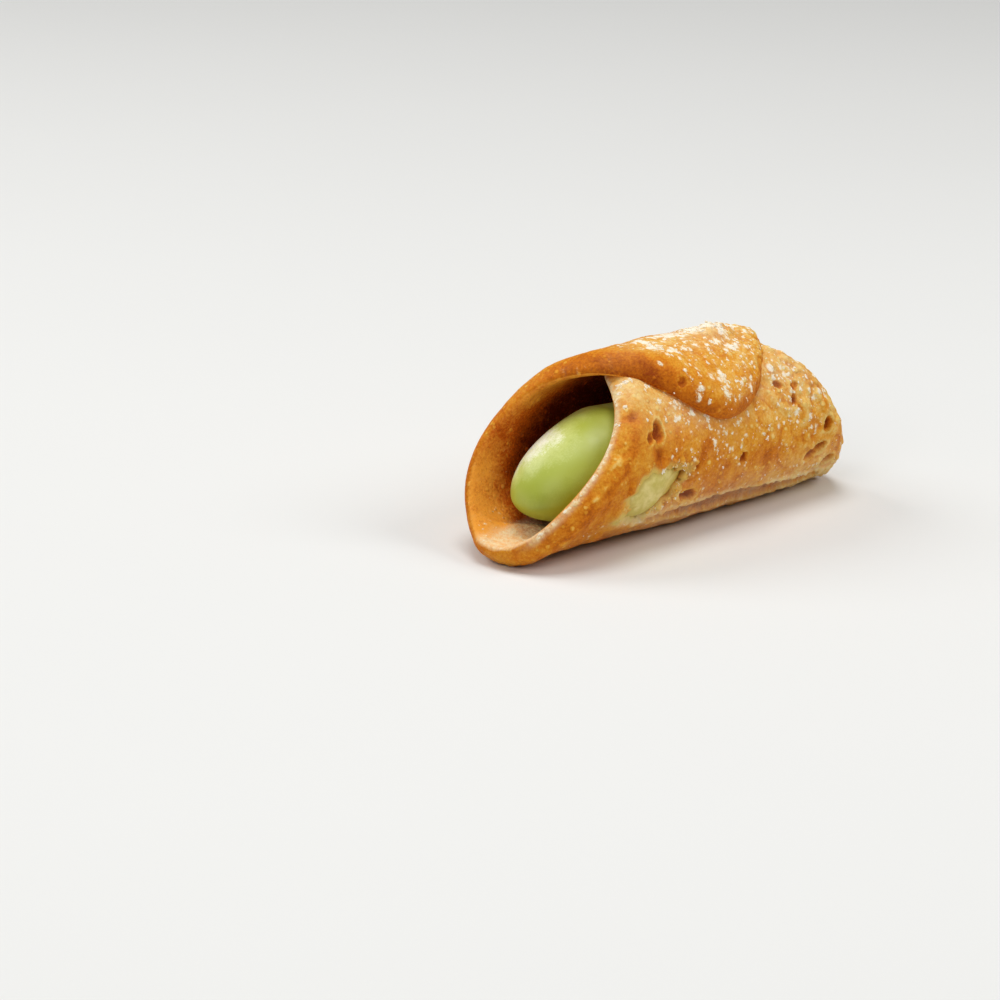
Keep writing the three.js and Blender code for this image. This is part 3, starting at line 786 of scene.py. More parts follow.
def cream_ring(along, size, drop, side, top, sides):
    """A cross-section of the cream: a wide arch above its middle, down to the keel below."""
    angle = 2 * pi * np.arange(sides) / sides
    floor = cream_room(along) * (1 + HEIGHT_STRETCH)
    height = np.where(np.sin(angle) > 0, top, floor - drop)
    # The dome is fuller below than above.
    above = (1 + np.sin(angle)) / 2
    size = size ** (FULL_ABOVE * above + FULL_BELOW * (1 - above))
    across = CREAM_SHIFT + size * side * np.cos(angle)
    up = -drop + size * height * np.sin(angle)
    return np.stack([np.full(sides, along), across, up], axis=-1)


def end_rings(end, sides, count):
    """The rings of a mouth's egg-shaped end, from its tip to its base."""
    rings = []
    for ring in range(1, count + 1):
        angle = (pi / 2) * ring / count
        outward = cos(angle)
        along = end["base"] + (end["tip"] - end["base"]) * outward
        drop = end["base_drop"] + (end["tip_drop"] - end["base_drop"]) * outward
        rings.append(cream_ring(along, sin(angle), drop, end["side"], end["top"], sides))
    return rings


def cream_rings(sides, end_count, body_count):
    body = [body_ring(ring / (body_count + 1), sides) for ring in range(1, body_count + 1)]
    far_rings = end_rings(FAR_DOME, sides, end_count)
    return end_rings(NEAR_DOME, sides, end_count) + body + far_rings[::-1]


def body_ring(share, sides):
    along = NEAR_DOME["base"] + (FAR_DOME["base"] - NEAR_DOME["base"]) * share
    inward = sin(pi * share)

    def mixed(key, filled, full):
        plain = NEAR_DOME[key] + (FAR_DOME[key] - NEAR_DOME[key]) * share
        return plain + (filled - plain) * full

    room = cream_room(along)
    # Just inside each mouth the cream is a little narrower than its dome.
    from_dome = min(along - NEAR_DOME["base"], FAR_DOME["base"] - along)
    waist = WAIST * sin(pi * min(from_dome / WAIST_LENGTH, 1)) ** 2
    drop = mixed("base_drop", 0, inward**6)
    side = mixed("side", room + CREAM_SHIFT, inward**3) - waist
    top = mixed("top", room, inward**6) - TOP_WAIST * waist
    ring = cream_ring(along, 1, drop, side, top, sides)
    pressed = smooth_step(PLUG_HALF + PLUG_FADE - abs(along - TIP_LEAN), 0, PLUG_FADE)
    return ring + (plug_ring(along, sides) - ring) * pressed


def plug_ring(along, sides):
    """A cross-section of the cream that is pressed into the dough all round."""
    turn = 2 * pi * np.arange(sides) / sides + pi / 2 - KEEL_TURN
    turn = np.where(turn > SEAM_END, turn - 2 * pi, turn)
    places = np.full(sides, along), TUBE_RADIUS * turn
    return wrapped(*places) + directions_at(*places)[2] * (PLUG_PRESS - DOUGH / 2)


def tear_boss(corners, rings):
    """The cream that fills the tear: a low cushion on a stalk that reaches into the body.
    Returns its rings with the share of the way out that each of them lies at."""
    angle = 2 * pi * np.arange(corners) / corners
    ragged = tear_ragged(angle)

    def ring_at(share, deeper=0.0):
        places = tear_places(angle, ragged * share)
        middle = wrapped(*places)
        out = directions_at(*places)[2]
        # The cream stands highest at the foot of the tear and sinks towards its crusty head.
        outward = share * ragged
        crusty = ramp(outward * (np.cos(angle) + 0.5 * np.sin(angle)), 0.35, 0.25)
        sunk = 0.25 + 0.45 * outward**4 + crusty * (0.75 + 0.3 * outward**3) + deeper
        lumps = 0.12 * noise_at(middle, 3.0, 3) + 0.03 * noise_at(middle, 1.0, 13)
        return middle + out * (DOUGH / 2 - sunk + lumps)[..., None]

    shares = [TEAR_OVERLAP * cos((pi / 2) * ring / rings) for ring in range(rings)]
    stalk = [ring_at(1.0, 2 * DOUGH), ring_at(1.0, DOUGH)]
    return stalk + [ring_at(share) for share in shares], np.array([1.0, 1.0, *shares])


def loft(rings):
    """A closed mesh through rings of points, capped by a point at either end."""
    sides = len(rings[0])
    points = np.concatenate([*rings, rings[0].mean(axis=0)[None], rings[-1].mean(axis=0)[None]])
    first_cap = len(rings) * sides
    faces = []
    for corner in range(sides):
        following = (corner + 1) % sides
        for ring in range(len(rings) - 1):
            low, high = ring * sides, (ring + 1) * sides
            faces.append((low + corner, low + following, high + following, high + corner))
        last = first_cap - sides
        faces.append((first_cap, following, corner))
        faces.append((first_cap + 1, last + corner, last + following))
    return points, faces


def cream_body(sides):
    """The points and faces of the cream in the tube."""
    rings = cream_rings(sides, sides // 4, sides // 3)
    near_tip, far_tip = (
        np.array([[end["tip"], CREAM_SHIFT, -end["tip_drop"]]]) for end in (NEAR_DOME, FAR_DOME)
    )
    # A small ring beside each tip keeps the tips round.
    rings.insert(0, near_tip + (rings[0] - near_tip) * 0.35)
    rings.append(far_tip + (rings[-1] - far_tip) * 0.35)
    points, faces = loft(rings)
    points[-2:] = np.concatenate([near_tip, far_tip])
    away = unit(points * np.array([0.3, 1, 1]) - np.array([0, CREAM_SHIFT, 0]))
    smooth_lumps = 0.10 * noise_at(points, 8, 2) + 0.03 * noise_at(points, 2.5, 5)
    return points + away * smooth_lumps[:, None], faces


def make_cream(settings, material):
    body_points, body_faces = cream_body(settings.sides)
    rings, shares = tear_boss(BOSS_CORNERS, BOSS_RINGS)
    boss_points, boss_faces = loft(rings)
    angle = np.tile(2 * pi * np.arange(BOSS_CORNERS) / BOSS_CORNERS, len(shares))
    share = np.repeat(shares, BOSS_CORNERS)
    towards_head = share * (np.cos(angle) + 0.5 * np.sin(angle))
    # Thinned where the cream thins to its edge, with painted shade towards the tear's crusty head.
    thinned = smooth_step(share, 0.72, 1.12) + 0.7 * ramp(towards_head, 0.55, 0.2)
    count = len(body_points)
    points = np.concatenate([body_points, boss_points])
    faces = body_faces + [tuple(index + count for index in face) for face in boss_faces]
    piece = new_piece("pistachio_cream", points, faces, material, "filling")
    set_attribute(piece, "in_tear", np.arange(len(points)) >= count)
    # The two caps of the boss are the foot of its stalk and its middle.
    set_attribute(piece, "thinned", np.concatenate([np.zeros(count), thinned, [1, 0]]))
    # Painted light on the cream: palest on its upper back, where the light falls, and darkest and
    # greenest below, in painted shade.
    lit_way = Vector((0.0, 0.55, 0.80))
    bloom = np.array([vertex.normal.dot(lit_way) for vertex in piece.data.vertices])
    along = points[:, 0]
    # Painted shade further into the tube past the near dome, and less painted light on the far dome.
    bloom -= 0.34 * smooth_step(along, -33, -25) * smooth_step(along, 40, 0)
    bloom -= 0.16 * smooth_step(along, 18, 34)
    set_attribute(piece, "bloom", bloom)


def ball(rings):
    """Points and faces of a small rounded lump, with this many rings between its ends."""
    sides = 5 if rings == 2 else 7
    points = [(0, 0, 1)]
    for ring in range(1, rings + 1):
        tilt = pi * ring / (rings + 1)
        for corner in range(sides):
            angle = 2 * pi * (corner + 0.5 * (ring % 2)) / sides
            points.append((sin(tilt) * cos(angle), sin(tilt) * sin(angle), cos(tilt)))
    points.append((0, 0, -1))
    faces = []
    for corner in range(sides):
        following = (corner + 1) % sides
        faces.append((0, 1 + corner, 1 + following))
        for ring in range(rings - 1):
            low, high = 1 + ring * sides, 1 + (ring + 1) * sides
            faces.append((low + corner, high + corner, high + following, low + following))
        last = 1 + (rings - 1) * sides
        faces.append((last + corner, len(points) - 1, last + following))
    return np.array(points), faces


def scatter_grains(name, places, sizes, rings, seed, material):
    """Lumps of sugar on the outside of the dough, one joined mesh."""
    draw = np.random.default_rng(seed)
    along, round_ = places.T
    dough = Dough(along, round_, 1.0)
    centres = dough.outside()
    lump_points, lump_faces = ball(rings)
    count, corners = len(along), len(lump_points)
    spin = draw.uniform(0, 2 * pi, count)
    first_way = dough.along_way * np.cos(spin)[:, None] + dough.round_way * np.sin(spin)[:, None]
    second_way = np.cross(dough.out, first_way)
    stretch = draw.uniform(0.7, 1.4, (count, 2))
    flat = draw.uniform(0.45, 0.85, count)
    jitter = 1 + draw.uniform(-0.22, 0.22, (count, corners))
    local = lump_points[None] * jitter[..., None] * sizes[:, None, None]
    points = (
        centres[:, None]
        + first_way[:, None] * (local[..., 0] * stretch[:, :1])[..., None]
        + second_way[:, None] * (local[..., 1] * stretch[:, 1:])[..., None]
        + dough.out[:, None] * (local[..., 2] * flat[:, None] + sizes[:, None] * 0.1)[..., None]
    )
    points[..., 2] = np.maximum(points[..., 2], -TUBE_PLACE[2])
    faces = []
    for lump in range(count):
        faces += [tuple(index + lump * corners for index in face) for face in lump_faces]
    return new_piece(name, points.reshape(-1, 3), faces, material)


def make_crumbs(settings, material):
    """Flakes of torn crust that stand round the head and the lower edge of the tear."""
    draw = np.random.default_rng(settings.seed)
    count = settings.crumbs
    angle = radians(35) + radians(75) * draw.uniform(-1, 1, count)
    share = (1.02 + 0.30 * draw.uniform(0, 1, count) ** 1.5) * tear_ragged(angle)
    places = np.stack(tear_places(angle, share), axis=-1)
    sizes = 0.18 + 0.35 * draw.uniform(0, 1, count) ** 2
    piece = scatter_grains("crust_crumbs", places, sizes, 3, settings.seed + 5, material)
    corners = len(piece.data.vertices) // count
    set_attribute(piece, "browned", np.repeat(draw.uniform(-0.05, 0.25, count), corners))
    set_attribute(piece, "sugared", np.repeat(draw.uniform(0.1, 0.5, count), corners))


def huddled(draw, count, spot, power):
    """Places scattered over a spot, given as along, degrees round, half length, half width."""
    along, degrees, length, width = spot
    distance = 1.15 * draw.uniform(0, 1, count) ** power
    angle = draw.uniform(0, 2 * pi, count)
    round_ = radians(degrees) * TUBE_RADIUS + width * distance * np.sin(angle)
    return np.stack([along + length * distance * np.cos(angle), round_], axis=-1)


def make_sugar(settings, material):
    draw = np.random.default_rng(settings.seed)
    # Loose grains, more of them where the shell is more dusted.
    along = draw.uniform(-NEAR_REACH, FAR_REACH, settings.grains * 8)
    round_ = draw.uniform(-HALF_WRAP, HALF_WRAP, settings.grains * 8)
    near, far = rims(round_)
    on_sheet = (along > near + 1) & (along < far - 1) & ~covered_by_flap(along, round_)
    on_sheet &= tear_share(along, round_) > 1.1
    along, round_ = along[on_sheet], round_[on_sheet]
    sugared = outer_sugared(Dough(along, round_, 1.0))
    kept = draw.uniform(0, 1, len(along)) < sugared**2 * 0.5
    places = np.stack([along[kept], round_[kept]], axis=-1)[: settings.grains]
    sizes = 0.06 + 0.13 * draw.uniform(0, 1, len(places)) ** 2.5
    scatter_grains("sugar_grains", places, sizes, 2, settings.seed + 1, material)

    # Clumps, each a huddle of larger lumps, and the mound on top.
    places, sizes = [], []
    for along, degrees, radius in SUGAR_CLUMPS:
        count = int(3 + 10 * radius**2)
        spot = (along, degrees, 0.75 * radius, 1.15 * radius)
        places.append(huddled(draw, count, spot, 0.7))
        sizes.append((0.08 + 0.18 * draw.uniform(0, 1, count) ** 2) * (0.7 + 0.4 * radius))
    places.append(huddled(draw, settings.mound_grains, MOUND_SUGAR[:4], 0.5))
    sizes.append(0.10 + 0.22 * draw.uniform(0, 1, settings.mound_grains) ** 2)
    places, sizes = np.concatenate(places), np.concatenate(sizes)
    scatter_grains("sugar_clumps", places, sizes, 3, settings.seed + 2, material)


# ---------------------------------------------------------------------------------------
# Materials.


def linear(colour):
    """A colour picked as it looks on screen, for a shader."""
    parts = [c / 12.92 if c <= 0.04045 else ((c + 0.055) / 1.055) ** 2.4 for c in colour[:3]]
    return (*parts, 1.0)


class Tree:
    """Makes and links nodes in a node tree."""

    def __init__(self, tree):
        self.tree = tree

    def feed(self, node, inputs):
        """Feeds a node's inputs, by name or number: sockets are linked, the rest is set."""
        for key, value in inputs.items():
            if isinstance(value, bpy.types.NodeSocket):
                self.tree.links.new(value, node.inputs[key])
            else:
                node.inputs[key].default_value = value
        return node

    def add(self, kind, settings=None, **inputs):
        node = self.tree.nodes.new("ShaderNode" + kind)
        for name, value in (settings or {}).items():
            setattr(node, name, value)
        return self.feed(node, {name.replace("_", " "): value for name, value in inputs.items()})

    def math(self, operation, first, second=0.0, clamp=False):
        node = self.add("Math", {"operation": operation, "use_clamp": clamp})
        return self.feed(node, {0: first, 1: second}).outputs[0]

    def plus(self, value, other, share):
        """A value plus a share of another."""
        return self.math("ADD", value, self.math("MULTIPLY", other, share))

    def varied(self, value, noise_value, share):
        """A value that a noise makes uneven, by half this share either way."""
        return self.plus(value, self.math("SUBTRACT", noise_value, 0.5), share)

    def range(self, value, low, high, new_low=0.0, new_high=1.0, smooth=True):
        node = self.add("MapRange", {"interpolation_type": "SMOOTHSTEP" if smooth else "LINEAR"})
        inputs = dict(enumerate((value, low, high, new_low, new_high)))
        return self.feed(node, inputs).outputs[0]

    def mix(self, share, first, second):
        node = self.add("Mix", {"data_type": "RGBA"})
        return self.feed(node, {0: share, 6: first, 7: second}).outputs[2]

    def colours(self, value, stops):
        """A colour for each value, from stops in their order: position and colour."""
        node = self.add("ValToRGB", None, Fac=value)
        elements = node.color_ramp.elements
        for index in (0, -1):
            position, shade = stops[index]
            elements[index].position, elements[index].color = position, linear(shade)
        for position, shade in stops[1:-1]:
            elements.new(position).color = linear(shade)
        return node.outputs["Color"]

    def noise(self, vector, scale, detail=2.0, roughness=0.5, distortion=0.0):
        inputs = {"Scale": scale, "Detail": detail, "Roughness": roughness, "Distortion": distortion}
        return self.add("TexNoise", None, Vector=vector, **inputs).outputs["Fac"]

    def dots(self, vector, scale, settings=None):
        """The distance from a scattered dot's middle, and a number drawn for that dot."""
        cells = self.add("TexVoronoi", settings, Vector=vector, Scale=scale)
        drawn = self.add("SeparateColor", None, Color=cells.outputs["Color"]).outputs[0]
        return cells.outputs["Distance"], drawn

    def position(self):
        return self.add("TexCoord").outputs["Object"]

    def value(self, name):
        """A number that the mesh holds for each vertex."""
        return self.add("Attribute", {"attribute_name": name}).outputs["Fac"]

    def group(self, group, **inputs):
        return self.add("Group", {"node_tree": group}, **inputs).outputs

    def bump(self, height, strength, distance, **inputs):
        settings = {"Strength": strength, "Distance": distance}
        return self.add("Bump", None, Height=height, **settings, **inputs).outputs[0]


def new_group(name, inputs, outputs):
    """A tree for a shader node group with these sockets, what the group is given, and a
    function that puts out its values."""
    group = bpy.data.node_groups.new(name, "ShaderNodeTree")
    for socket, kind, value in inputs:
        made = group.interface.new_socket(socket, in_out="INPUT", socket_type="NodeSocket" + kind)
        if value is not None:
            made.default_value = value
    for socket in outputs:
        group.interface.new_socket(socket, in_out="OUTPUT", socket_type="NodeSocketFloat")
    tree = Tree(group)
    entry = group.nodes.new("NodeGroupInput")
    leave = group.nodes.new("NodeGroupOutput")

    def put_out(**values):
        tree.feed(leave, values)
        return group

    return tree, entry.outputs, put_out


def fine_grain_group():
    """Uneven colour and a fine crumb, shared by the dough, the cream, the sugar and the floor."""
    tree, given, put_out = new_group(
        "Fine grain",
        [
            ("Vector", "Vector", None),
            ("Mottle Scale", "Float", 200.0),
            ("Grain Scale", "Float", 1500.0),
            ("Pore Scale", "Float", 700.0),
        ],
        ["Mottle", "Grain", "Pores", "Height"],
    )
    mottle = tree.noise(given["Vector"], given["Mottle Scale"], 4.0, 0.6)
    grain = tree.noise(given["Vector"], given["Grain Scale"], 3.0, 0.65)
    # Small round dots, of a size that differs from one to the next.
    distance, drawn = tree.dots(given["Vector"], given["Pore Scale"])
    size = tree.math("MULTIPLY", tree.math("SUBTRACT", drawn, 0.45), 0.8)
    pores = tree.range(tree.math("SUBTRACT", size, distance), -0.05, 0.2)
    height = tree.plus(tree.plus(tree.math("MULTIPLY", mottle, 0.6), grain, 0.4), pores, 0.25)
    return put_out(Mottle=mottle, Grain=grain, Pores=pores, Height=height)


def dusting_group():
    """Icing sugar that lies in specks and smears: more of it where Amount is higher. Coat is
    the even veil on the places that Coated names."""
    tree, given, put_out = new_group(
        "Sugar dusting",
        [
            ("Place", "Vector", None),
            ("Vector", "Vector", None),
            ("Amount", "Float", 0.4),
            ("Coated", "Float", 0.0),
            ("Heaped", "Float", 0.0),
        ],
        ["Mask", "Film", "Coat"],
    )
    stretched = tree.add("Mapping", None, Vector=given["Place"], Scale=(1.0, 0.6, 1.0))
    smears = tree.noise(stretched.outputs[0], 900.0, 3.0, 0.6, 0.4)
    grit = tree.noise(given["Vector"], 1900.0, 2.0, 0.6)
    patches = tree.noise(given["Vector"], 260.0, 3.0, 0.6)
    lumpy = tree.plus(tree.plus(tree.math("MULTIPLY", smears, 0.55), grit, 0.3), patches, 0.3)
    threshold = tree.math("SUBTRACT", 0.86, tree.math("MULTIPLY", given["Amount"], 0.34))
    above = tree.math("SUBTRACT", lumpy, threshold)
    mask = tree.range(above, -0.06, 0.20)
    film = tree.range(above, -0.20, 0.10)
    # Specks of many sizes, in a share of the cells that grows with the amount.
    wobble = tree.add("TexNoise", None, Vector=given["Vector"], Scale=1300.0, Detail=2.0)
    crooked = tree.add("VectorMath", {"operation": "MULTIPLY_ADD"})
    tree.feed(crooked, {0: wobble.outputs["Color"], 1: (0.0014,) * 3, 2: given["Place"]})
    for scale, drawn_out, softness in ((520.0, 0.9, 0.55), (1050.0, 1.0, 0.50)):
        squeezed = tree.add("Mapping", None, Vector=crooked.outputs[0], Scale=(1.0, drawn_out, 1.0))
        distance, drawn = tree.dots(squeezed.outputs[0], scale, {"voronoi_dimensions": "2D"})
        size = tree.math("ADD", drawn, tree.math("SUBTRACT", given["Amount"], 0.92))
        size = tree.math("MULTIPLY", size, 0.95)
        speck = tree.range(tree.math("SUBTRACT", size, distance), -0.05, softness)
        mask = tree.math("MAXIMUM", mask, speck)
    # The heaps are ragged and soft at their edges.
    powdery = tree.range(tree.plus(lumpy, grit, 0.5), 0.60, 1.05, 0.35, 1.45, smooth=False)
    heap = tree.math("MULTIPLY", given["Heaped"], powdery)
    mask = tree.math("MAXIMUM", mask, tree.range(heap, 0.12, 0.95))
    coat = tree.math("MULTIPLY", given["Coated"], tree.range(lumpy, 0.40, 0.72, 0.35, 1.0))
    return put_out(Mask=mask, Film=film, Coat=coat)


def shared_groups():
    """The two node groups, built once."""
    made = bpy.data.node_groups
    grain = made.get("Fine grain") or fine_grain_group()
    dusting = made.get("Sugar dusting") or dusting_group()
    return {"grain": grain, "dusting": dusting}


def new_material(name):
    material = bpy.data.materials.new(name)
    material.use_nodes = True
    material.node_tree.nodes.clear()
    tree = Tree(material.node_tree)
    shader = tree.add("BsdfPrincipled")
    tree.add("OutputMaterial", None, Surface=shader.outputs[0])
    return material, tree, shader


def crust_material(settings, groups):
    """Fried dough that browned unevenly, darkened with painted shade inside the tube, under the lip,
    in the crease and underneath, with sugar on it and cream smeared round the tear.
    """
    material, tree, shader = new_material("Fried dough")
    position = tree.position()
    grain = tree.group(groups["grain"], Vector=position, Mottle_Scale=330.0, Grain_Scale=1700.0)
    dust = tree.group(
        groups["dusting"],
        Place=tree.add("Attribute", {"attribute_name": "place"}).outputs["Vector"],
        Vector=position,
        Amount=tree.math("MULTIPLY", tree.value("sugared"), settings.dusting),
        Coated=tree.value("coated"),
        Heaped=tree.value("heaped"),
    )

    tone = tree.varied(tree.value("browned"), grain["Mottle"], 0.5)
    tone = tree.varied(tone, grain["Grain"], 0.8)
    tone = tree.math("SUBTRACT", tone, tree.math("MULTIPLY", grain["Pores"], 0.30), True)
    outer_stops = [
        (0.0, settings.pale),
        (0.30, settings.golden),
        (0.60, settings.orange),
        (1.0, settings.dark),
    ]
    inner_stops = [(0.10, settings.inner), (0.50, settings.inner_brown_and_shade), (0.92, settings.deep_shade)]
    outer, inner = tree.colours(tone, outer_stops), tree.colours(tone, inner_stops)
    baked = tree.mix(tree.value("within"), outer, inner)
    smear = tree.range(tree.plus(tree.value("creamy"), grain["Mottle"], 0.5), 0.35, 1.05)
    smeared = tree.mix(smear, baked, linear(settings.smear))
    film = linear(settings.film)
    filmed = tree.mix(tree.math("MULTIPLY", dust["Film"], 0.12), smeared, film)
    veiled = tree.mix(tree.math("MULTIPLY", dust["Coat"], 0.75), filmed, linear(settings.veil))
    # The thin edge of a speck takes up fat and looks like the film, and its middle is white.
    edged = tree.mix(tree.range(dust["Mask"], 0.0, 0.8, 0.0, 0.65), veiled, film)
    white = tree.range(dust["Mask"], 0.30, 1.0, 0.0, 0.92)
    crumb = tree.bump(grain["Height"], 0.8, 0.0007)
    surface = {
        "Base Color": tree.mix(white, edged, linear(settings.sugar)),
        "Roughness": tree.range(dust["Mask"], 0, 1, 0.46, 0.9),
        "Normal": tree.bump(dust["Mask"], 0.5, 0.0002, Normal=crumb),
        "Specular IOR Level": 0.08,
        "Subsurface Weight": 0.06,
        "Subsurface Radius": (1.0, 0.45, 0.2),
        "Subsurface Scale": 0.001,
    }
    tree.feed(shader, surface)
    return material


def cream_material(settings, groups):
    """Soft cream with painted light, pale on top and darker below, and patchy and thin in the tear,
    with painted shade at the tear's head.
    """
    material, tree, shader = new_material("Pistachio cream")
    grain = tree.group(
        groups["grain"], Vector=tree.position(), Mottle_Scale=300.0, Grain_Scale=2600.0
    )
    mottle = grain["Mottle"]
    # The tone runs from painted shade below, through the cream's own colour, to painted light and a
    # painted highlight on top.
    tone = tree.varied(tree.value("bloom"), mottle, 0.45)
    tone = tree.varied(tone, grain["Grain"], 0.35)
    stops = [
        (0.05, settings.deep_shade),
        (0.36, settings.cream),
        (0.58, settings.cream),
        (0.76, settings.light),
        (0.90, settings.bloom),
    ]
    shaded = tree.colours(tree.range(tone, -0.5, 1.0, smooth=False), stops)
    patchy = tree.range(mottle, 0.35, 0.65)
    dried = tree.mix(patchy, linear(settings.dried), linear(settings.crusted))
    # The thin colour also gives the painted shade at the tear's head.
    thinned = tree.range(tree.plus(tree.value("thinned"), mottle, 0.4), 0.3, 1.2)
    dried = tree.mix(thinned, dried, linear(settings.thin_and_shaded))
    surface = {
        "Base Color": tree.mix(tree.value("in_tear"), shaded, dried),
        "Roughness": tree.range(mottle, 0.2, 0.8, 0.36, 0.5),
        "Normal": tree.bump(grain["Height"], 0.15, 0.0003),
        "Specular IOR Level": 0.5,
        "Subsurface Weight": 0.2,
        "Subsurface Radius": (1.0, 0.9, 0.35),
        "Subsurface Scale": 0.002,
    }
    tree.feed(shader, surface)
    return material


def sugar_material(settings, groups):
    material, tree, shader = new_material("Icing sugar")
    grain = tree.group(
        groups["grain"], Vector=tree.position(), Mottle_Scale=500.0, Grain_Scale=4000.0
    )
    warmth = tree.range(grain["Mottle"], 0.35, 0.7)
    surface = {
        "Base Color": tree.mix(warmth, linear(settings.sugar), linear(settings.warm)),
        "Roughness": 0.85,
        "Normal": tree.bump(grain["Grain"], 0.4, 0.0002),
    }
    tree.feed(shader, surface)
    return material


def floor_material(settings, groups):
    material, tree, shader = new_material("Pale floor")
    grain = tree.group(
        groups["grain"], Vector=tree.position(), Mottle_Scale=4.0, Grain_Scale=300.0
    )
    pale = linear(settings.floor)
    shade = (*(c * 0.97 for c in pale[:3]), 1.0)
    tree.feed(shader, {"Base Color": tree.mix(grain["Mottle"], pale, shade), "Roughness": 0.9})
    return material


# ---------------------------------------------------------------------------------------
# Settings that a user would change.


def colour(name, description, default):
    looks = {"subtype": "COLOR_GAMMA", "size": 3, "min": 0, "max": 1}
    return FloatVectorProperty(name=name, description=description, default=default, **looks)


def count(name, description, default, least=0):
    return IntProperty(name=name, description=description, default=default, min=least)


def number(name, description, default, **kind):
    return FloatProperty(name=name, description=description, default=default, **kind)


class ShellSettings(bpy.types.PropertyGroup):
    cells_round: count("Cells round", "Mesh cells from seam tip to flap tip", 340, 40)
    cells_along: count("Cells along", "Mesh cells from end to end", 228, 40)
    relief: number("Relief", "Strength of the lumps and bubbles", 1.0, subtype="FACTOR")
    dusting: number("Dusting", "How much sugar is dusted on", 1.0, subtype="FACTOR")
    crumbs: count("Crumbs", "Flakes of crust round the tear", 36, 1)
    seed: count("Seed", "Seed of the crumbs' scatter", 3)
    pale: colour("Pale dough", "Dough that frying left pale", (0.95, 0.79, 0.44))
    golden: colour("Golden dough", "Most of the fried dough", (0.90, 0.62, 0.18))
    orange: colour("Orange dough", "Dough that browned a little more", (0.82, 0.46, 0.07))
    dark: colour("Dark dough", "The most browned dough", (0.60, 0.26, 0.03))
    inner: colour("Inner dough", "The dough inside the rim", (0.95, 0.63, 0.22))
    # Browned inside and deep dough carry painted shade that darkens the dough further into the tube.
    inner_brown_and_shade: colour("Browned and shaded inside", "The dough a little further in", (0.77, 0.36, 0.06))
    deep_shade: colour("Dough in painted shade", "The dough further inside", (0.42, 0.12, 0.02))
    smear: colour("Cream smear", "Dough with cream on it, round the tear", (0.88, 0.76, 0.40))
    film: colour("Sugar film", "Sugar that took up fat", (0.97, 0.87, 0.64))
    veil: colour("Sugar veil", "An even veil of fine sugar", (0.95, 0.89, 0.73))
    sugar: colour("Sugar", "Dusted icing sugar", (0.99, 0.95, 0.87))


class CreamSettings(bpy.types.PropertyGroup):
    sides: count("Sides", "Mesh faces round the cream", 120, 24)
    cream: colour("Cream", "Pistachio cream", (0.69, 0.73, 0.27))
    # Light, pale and deep cream are painted light: the lit upper side, a painted highlight on top and
    # the underside in painted shade.
    light: colour("Cream in painted light", "The cream's upper side", (0.79, 0.82, 0.46))
    bloom: colour("Painted highlight on the cream", "The cream's top in a painted highlight", (0.97, 0.97, 0.86))
    deep_shade: colour("Cream in painted shade", "The cream's underside", (0.60, 0.65, 0.16))
    dried: colour("Dried cream", "The cream that shows in the tear", (0.91, 0.84, 0.53))
    crusted: colour("Crusted cream", "Darker patches in the tear", (0.81, 0.74, 0.34))
    # Thin cream also gives the painted shade at the tear's head, under the crust.
    thin_and_shaded: colour("Thin and shaded cream", "The edge in the tear, where it thins out", (0.80, 0.70, 0.32))


class SugarSettings(bpy.types.PropertyGroup):
    seed: count("Seed", "Seed of the scatter", 7)
    grains: count("Grains", "Loose grains of sugar", 1800)
    mound_grains: count("Mound grains", "Lumps in the mound on top", 300)
    sugar: colour("Sugar", "Icing sugar", (0.99, 0.965, 0.905))
    warm: colour("Warm sugar", "Icing sugar that took up fat", (0.98, 0.895, 0.74))


class StudioSettings(bpy.types.PropertyGroup):
    floor: colour("Floor", "The pale floor", (0.91, 0.91, 0.90))
    key_power: number("Key light", "Power of the light at the front", 3.9, unit="POWER")
    top_power: number("Top light", "Power of the light overhead", 6.1, unit="POWER")
    back_power: number("Back light", "Power of the light behind", 4.0, unit="POWER")
    side_power: number("Side light", "Power of the light at the left", 2.4, unit="POWER")
    surround: number("Surround", "Brightness of the white surround", 0.14, min=0)
    lens: number("Lens", "Focal length", 142.54, unit="CAMERA")


# ---------------------------------------------------------------------------------------
# The pieces, the studio and the panel.


class CANNOLO_OT_shell(bpy.types.Operator):
    """Make the fried shell"""

    bl_idname = "cannolo.shell"
    bl_label = "Fried shell"

    def execute(self, context):
        settings = context.scene.cannolo_shell
        material = crust_material(settings, shared_groups())
        make_shell(settings, material)
        make_crumbs(settings, material)
        return {"FINISHED"}


class CANNOLO_OT_cream(bpy.types.Operator):
    """Make the pistachio cream"""

    bl_idname = "cannolo.cream"
    bl_label = "Pistachio cream"

    def execute(self, context):
        settings = context.scene.cannolo_cream
        make_cream(settings, cream_material(settings, shared_groups()))
        return {"FINISHED"}


class CANNOLO_OT_sugar(bpy.types.Operator):
    """Scatter the icing sugar"""

    bl_idname = "cannolo.sugar"
    bl_label = "Icing sugar"

    def execute(self, context):
        settings = context.scene.cannolo_sugar
        make_sugar(settings, sugar_material(settings, shared_groups()))
        return {"FINISHED"}


# The studio, in metres.
FLOOR_HALF = 4.0
FLOOR_DROP = 0.0001
LIGHT_SIZE = 0.6
LIGHTS = {
    "Key": (0.5, -0.7, 0.7),
    "Top": (0.0, 0.0, 1.1),
    "Back": (-0.3, 0.75, 0.7),
    "Side": (-0.8, -0.35, 0.65),
}
CAMERA_AZIMUTH, CAMERA_ELEVATION, CAMERA_DISTANCE = radians(-43.353), radians(18.057), 0.863388
# How far right of and above the picture's middle the part stands, in a picture this wide.
RIGHT_PX, UP_PX, WIDTH_PX = 166.4, 66.3, 1000
SENSOR_MM = 36


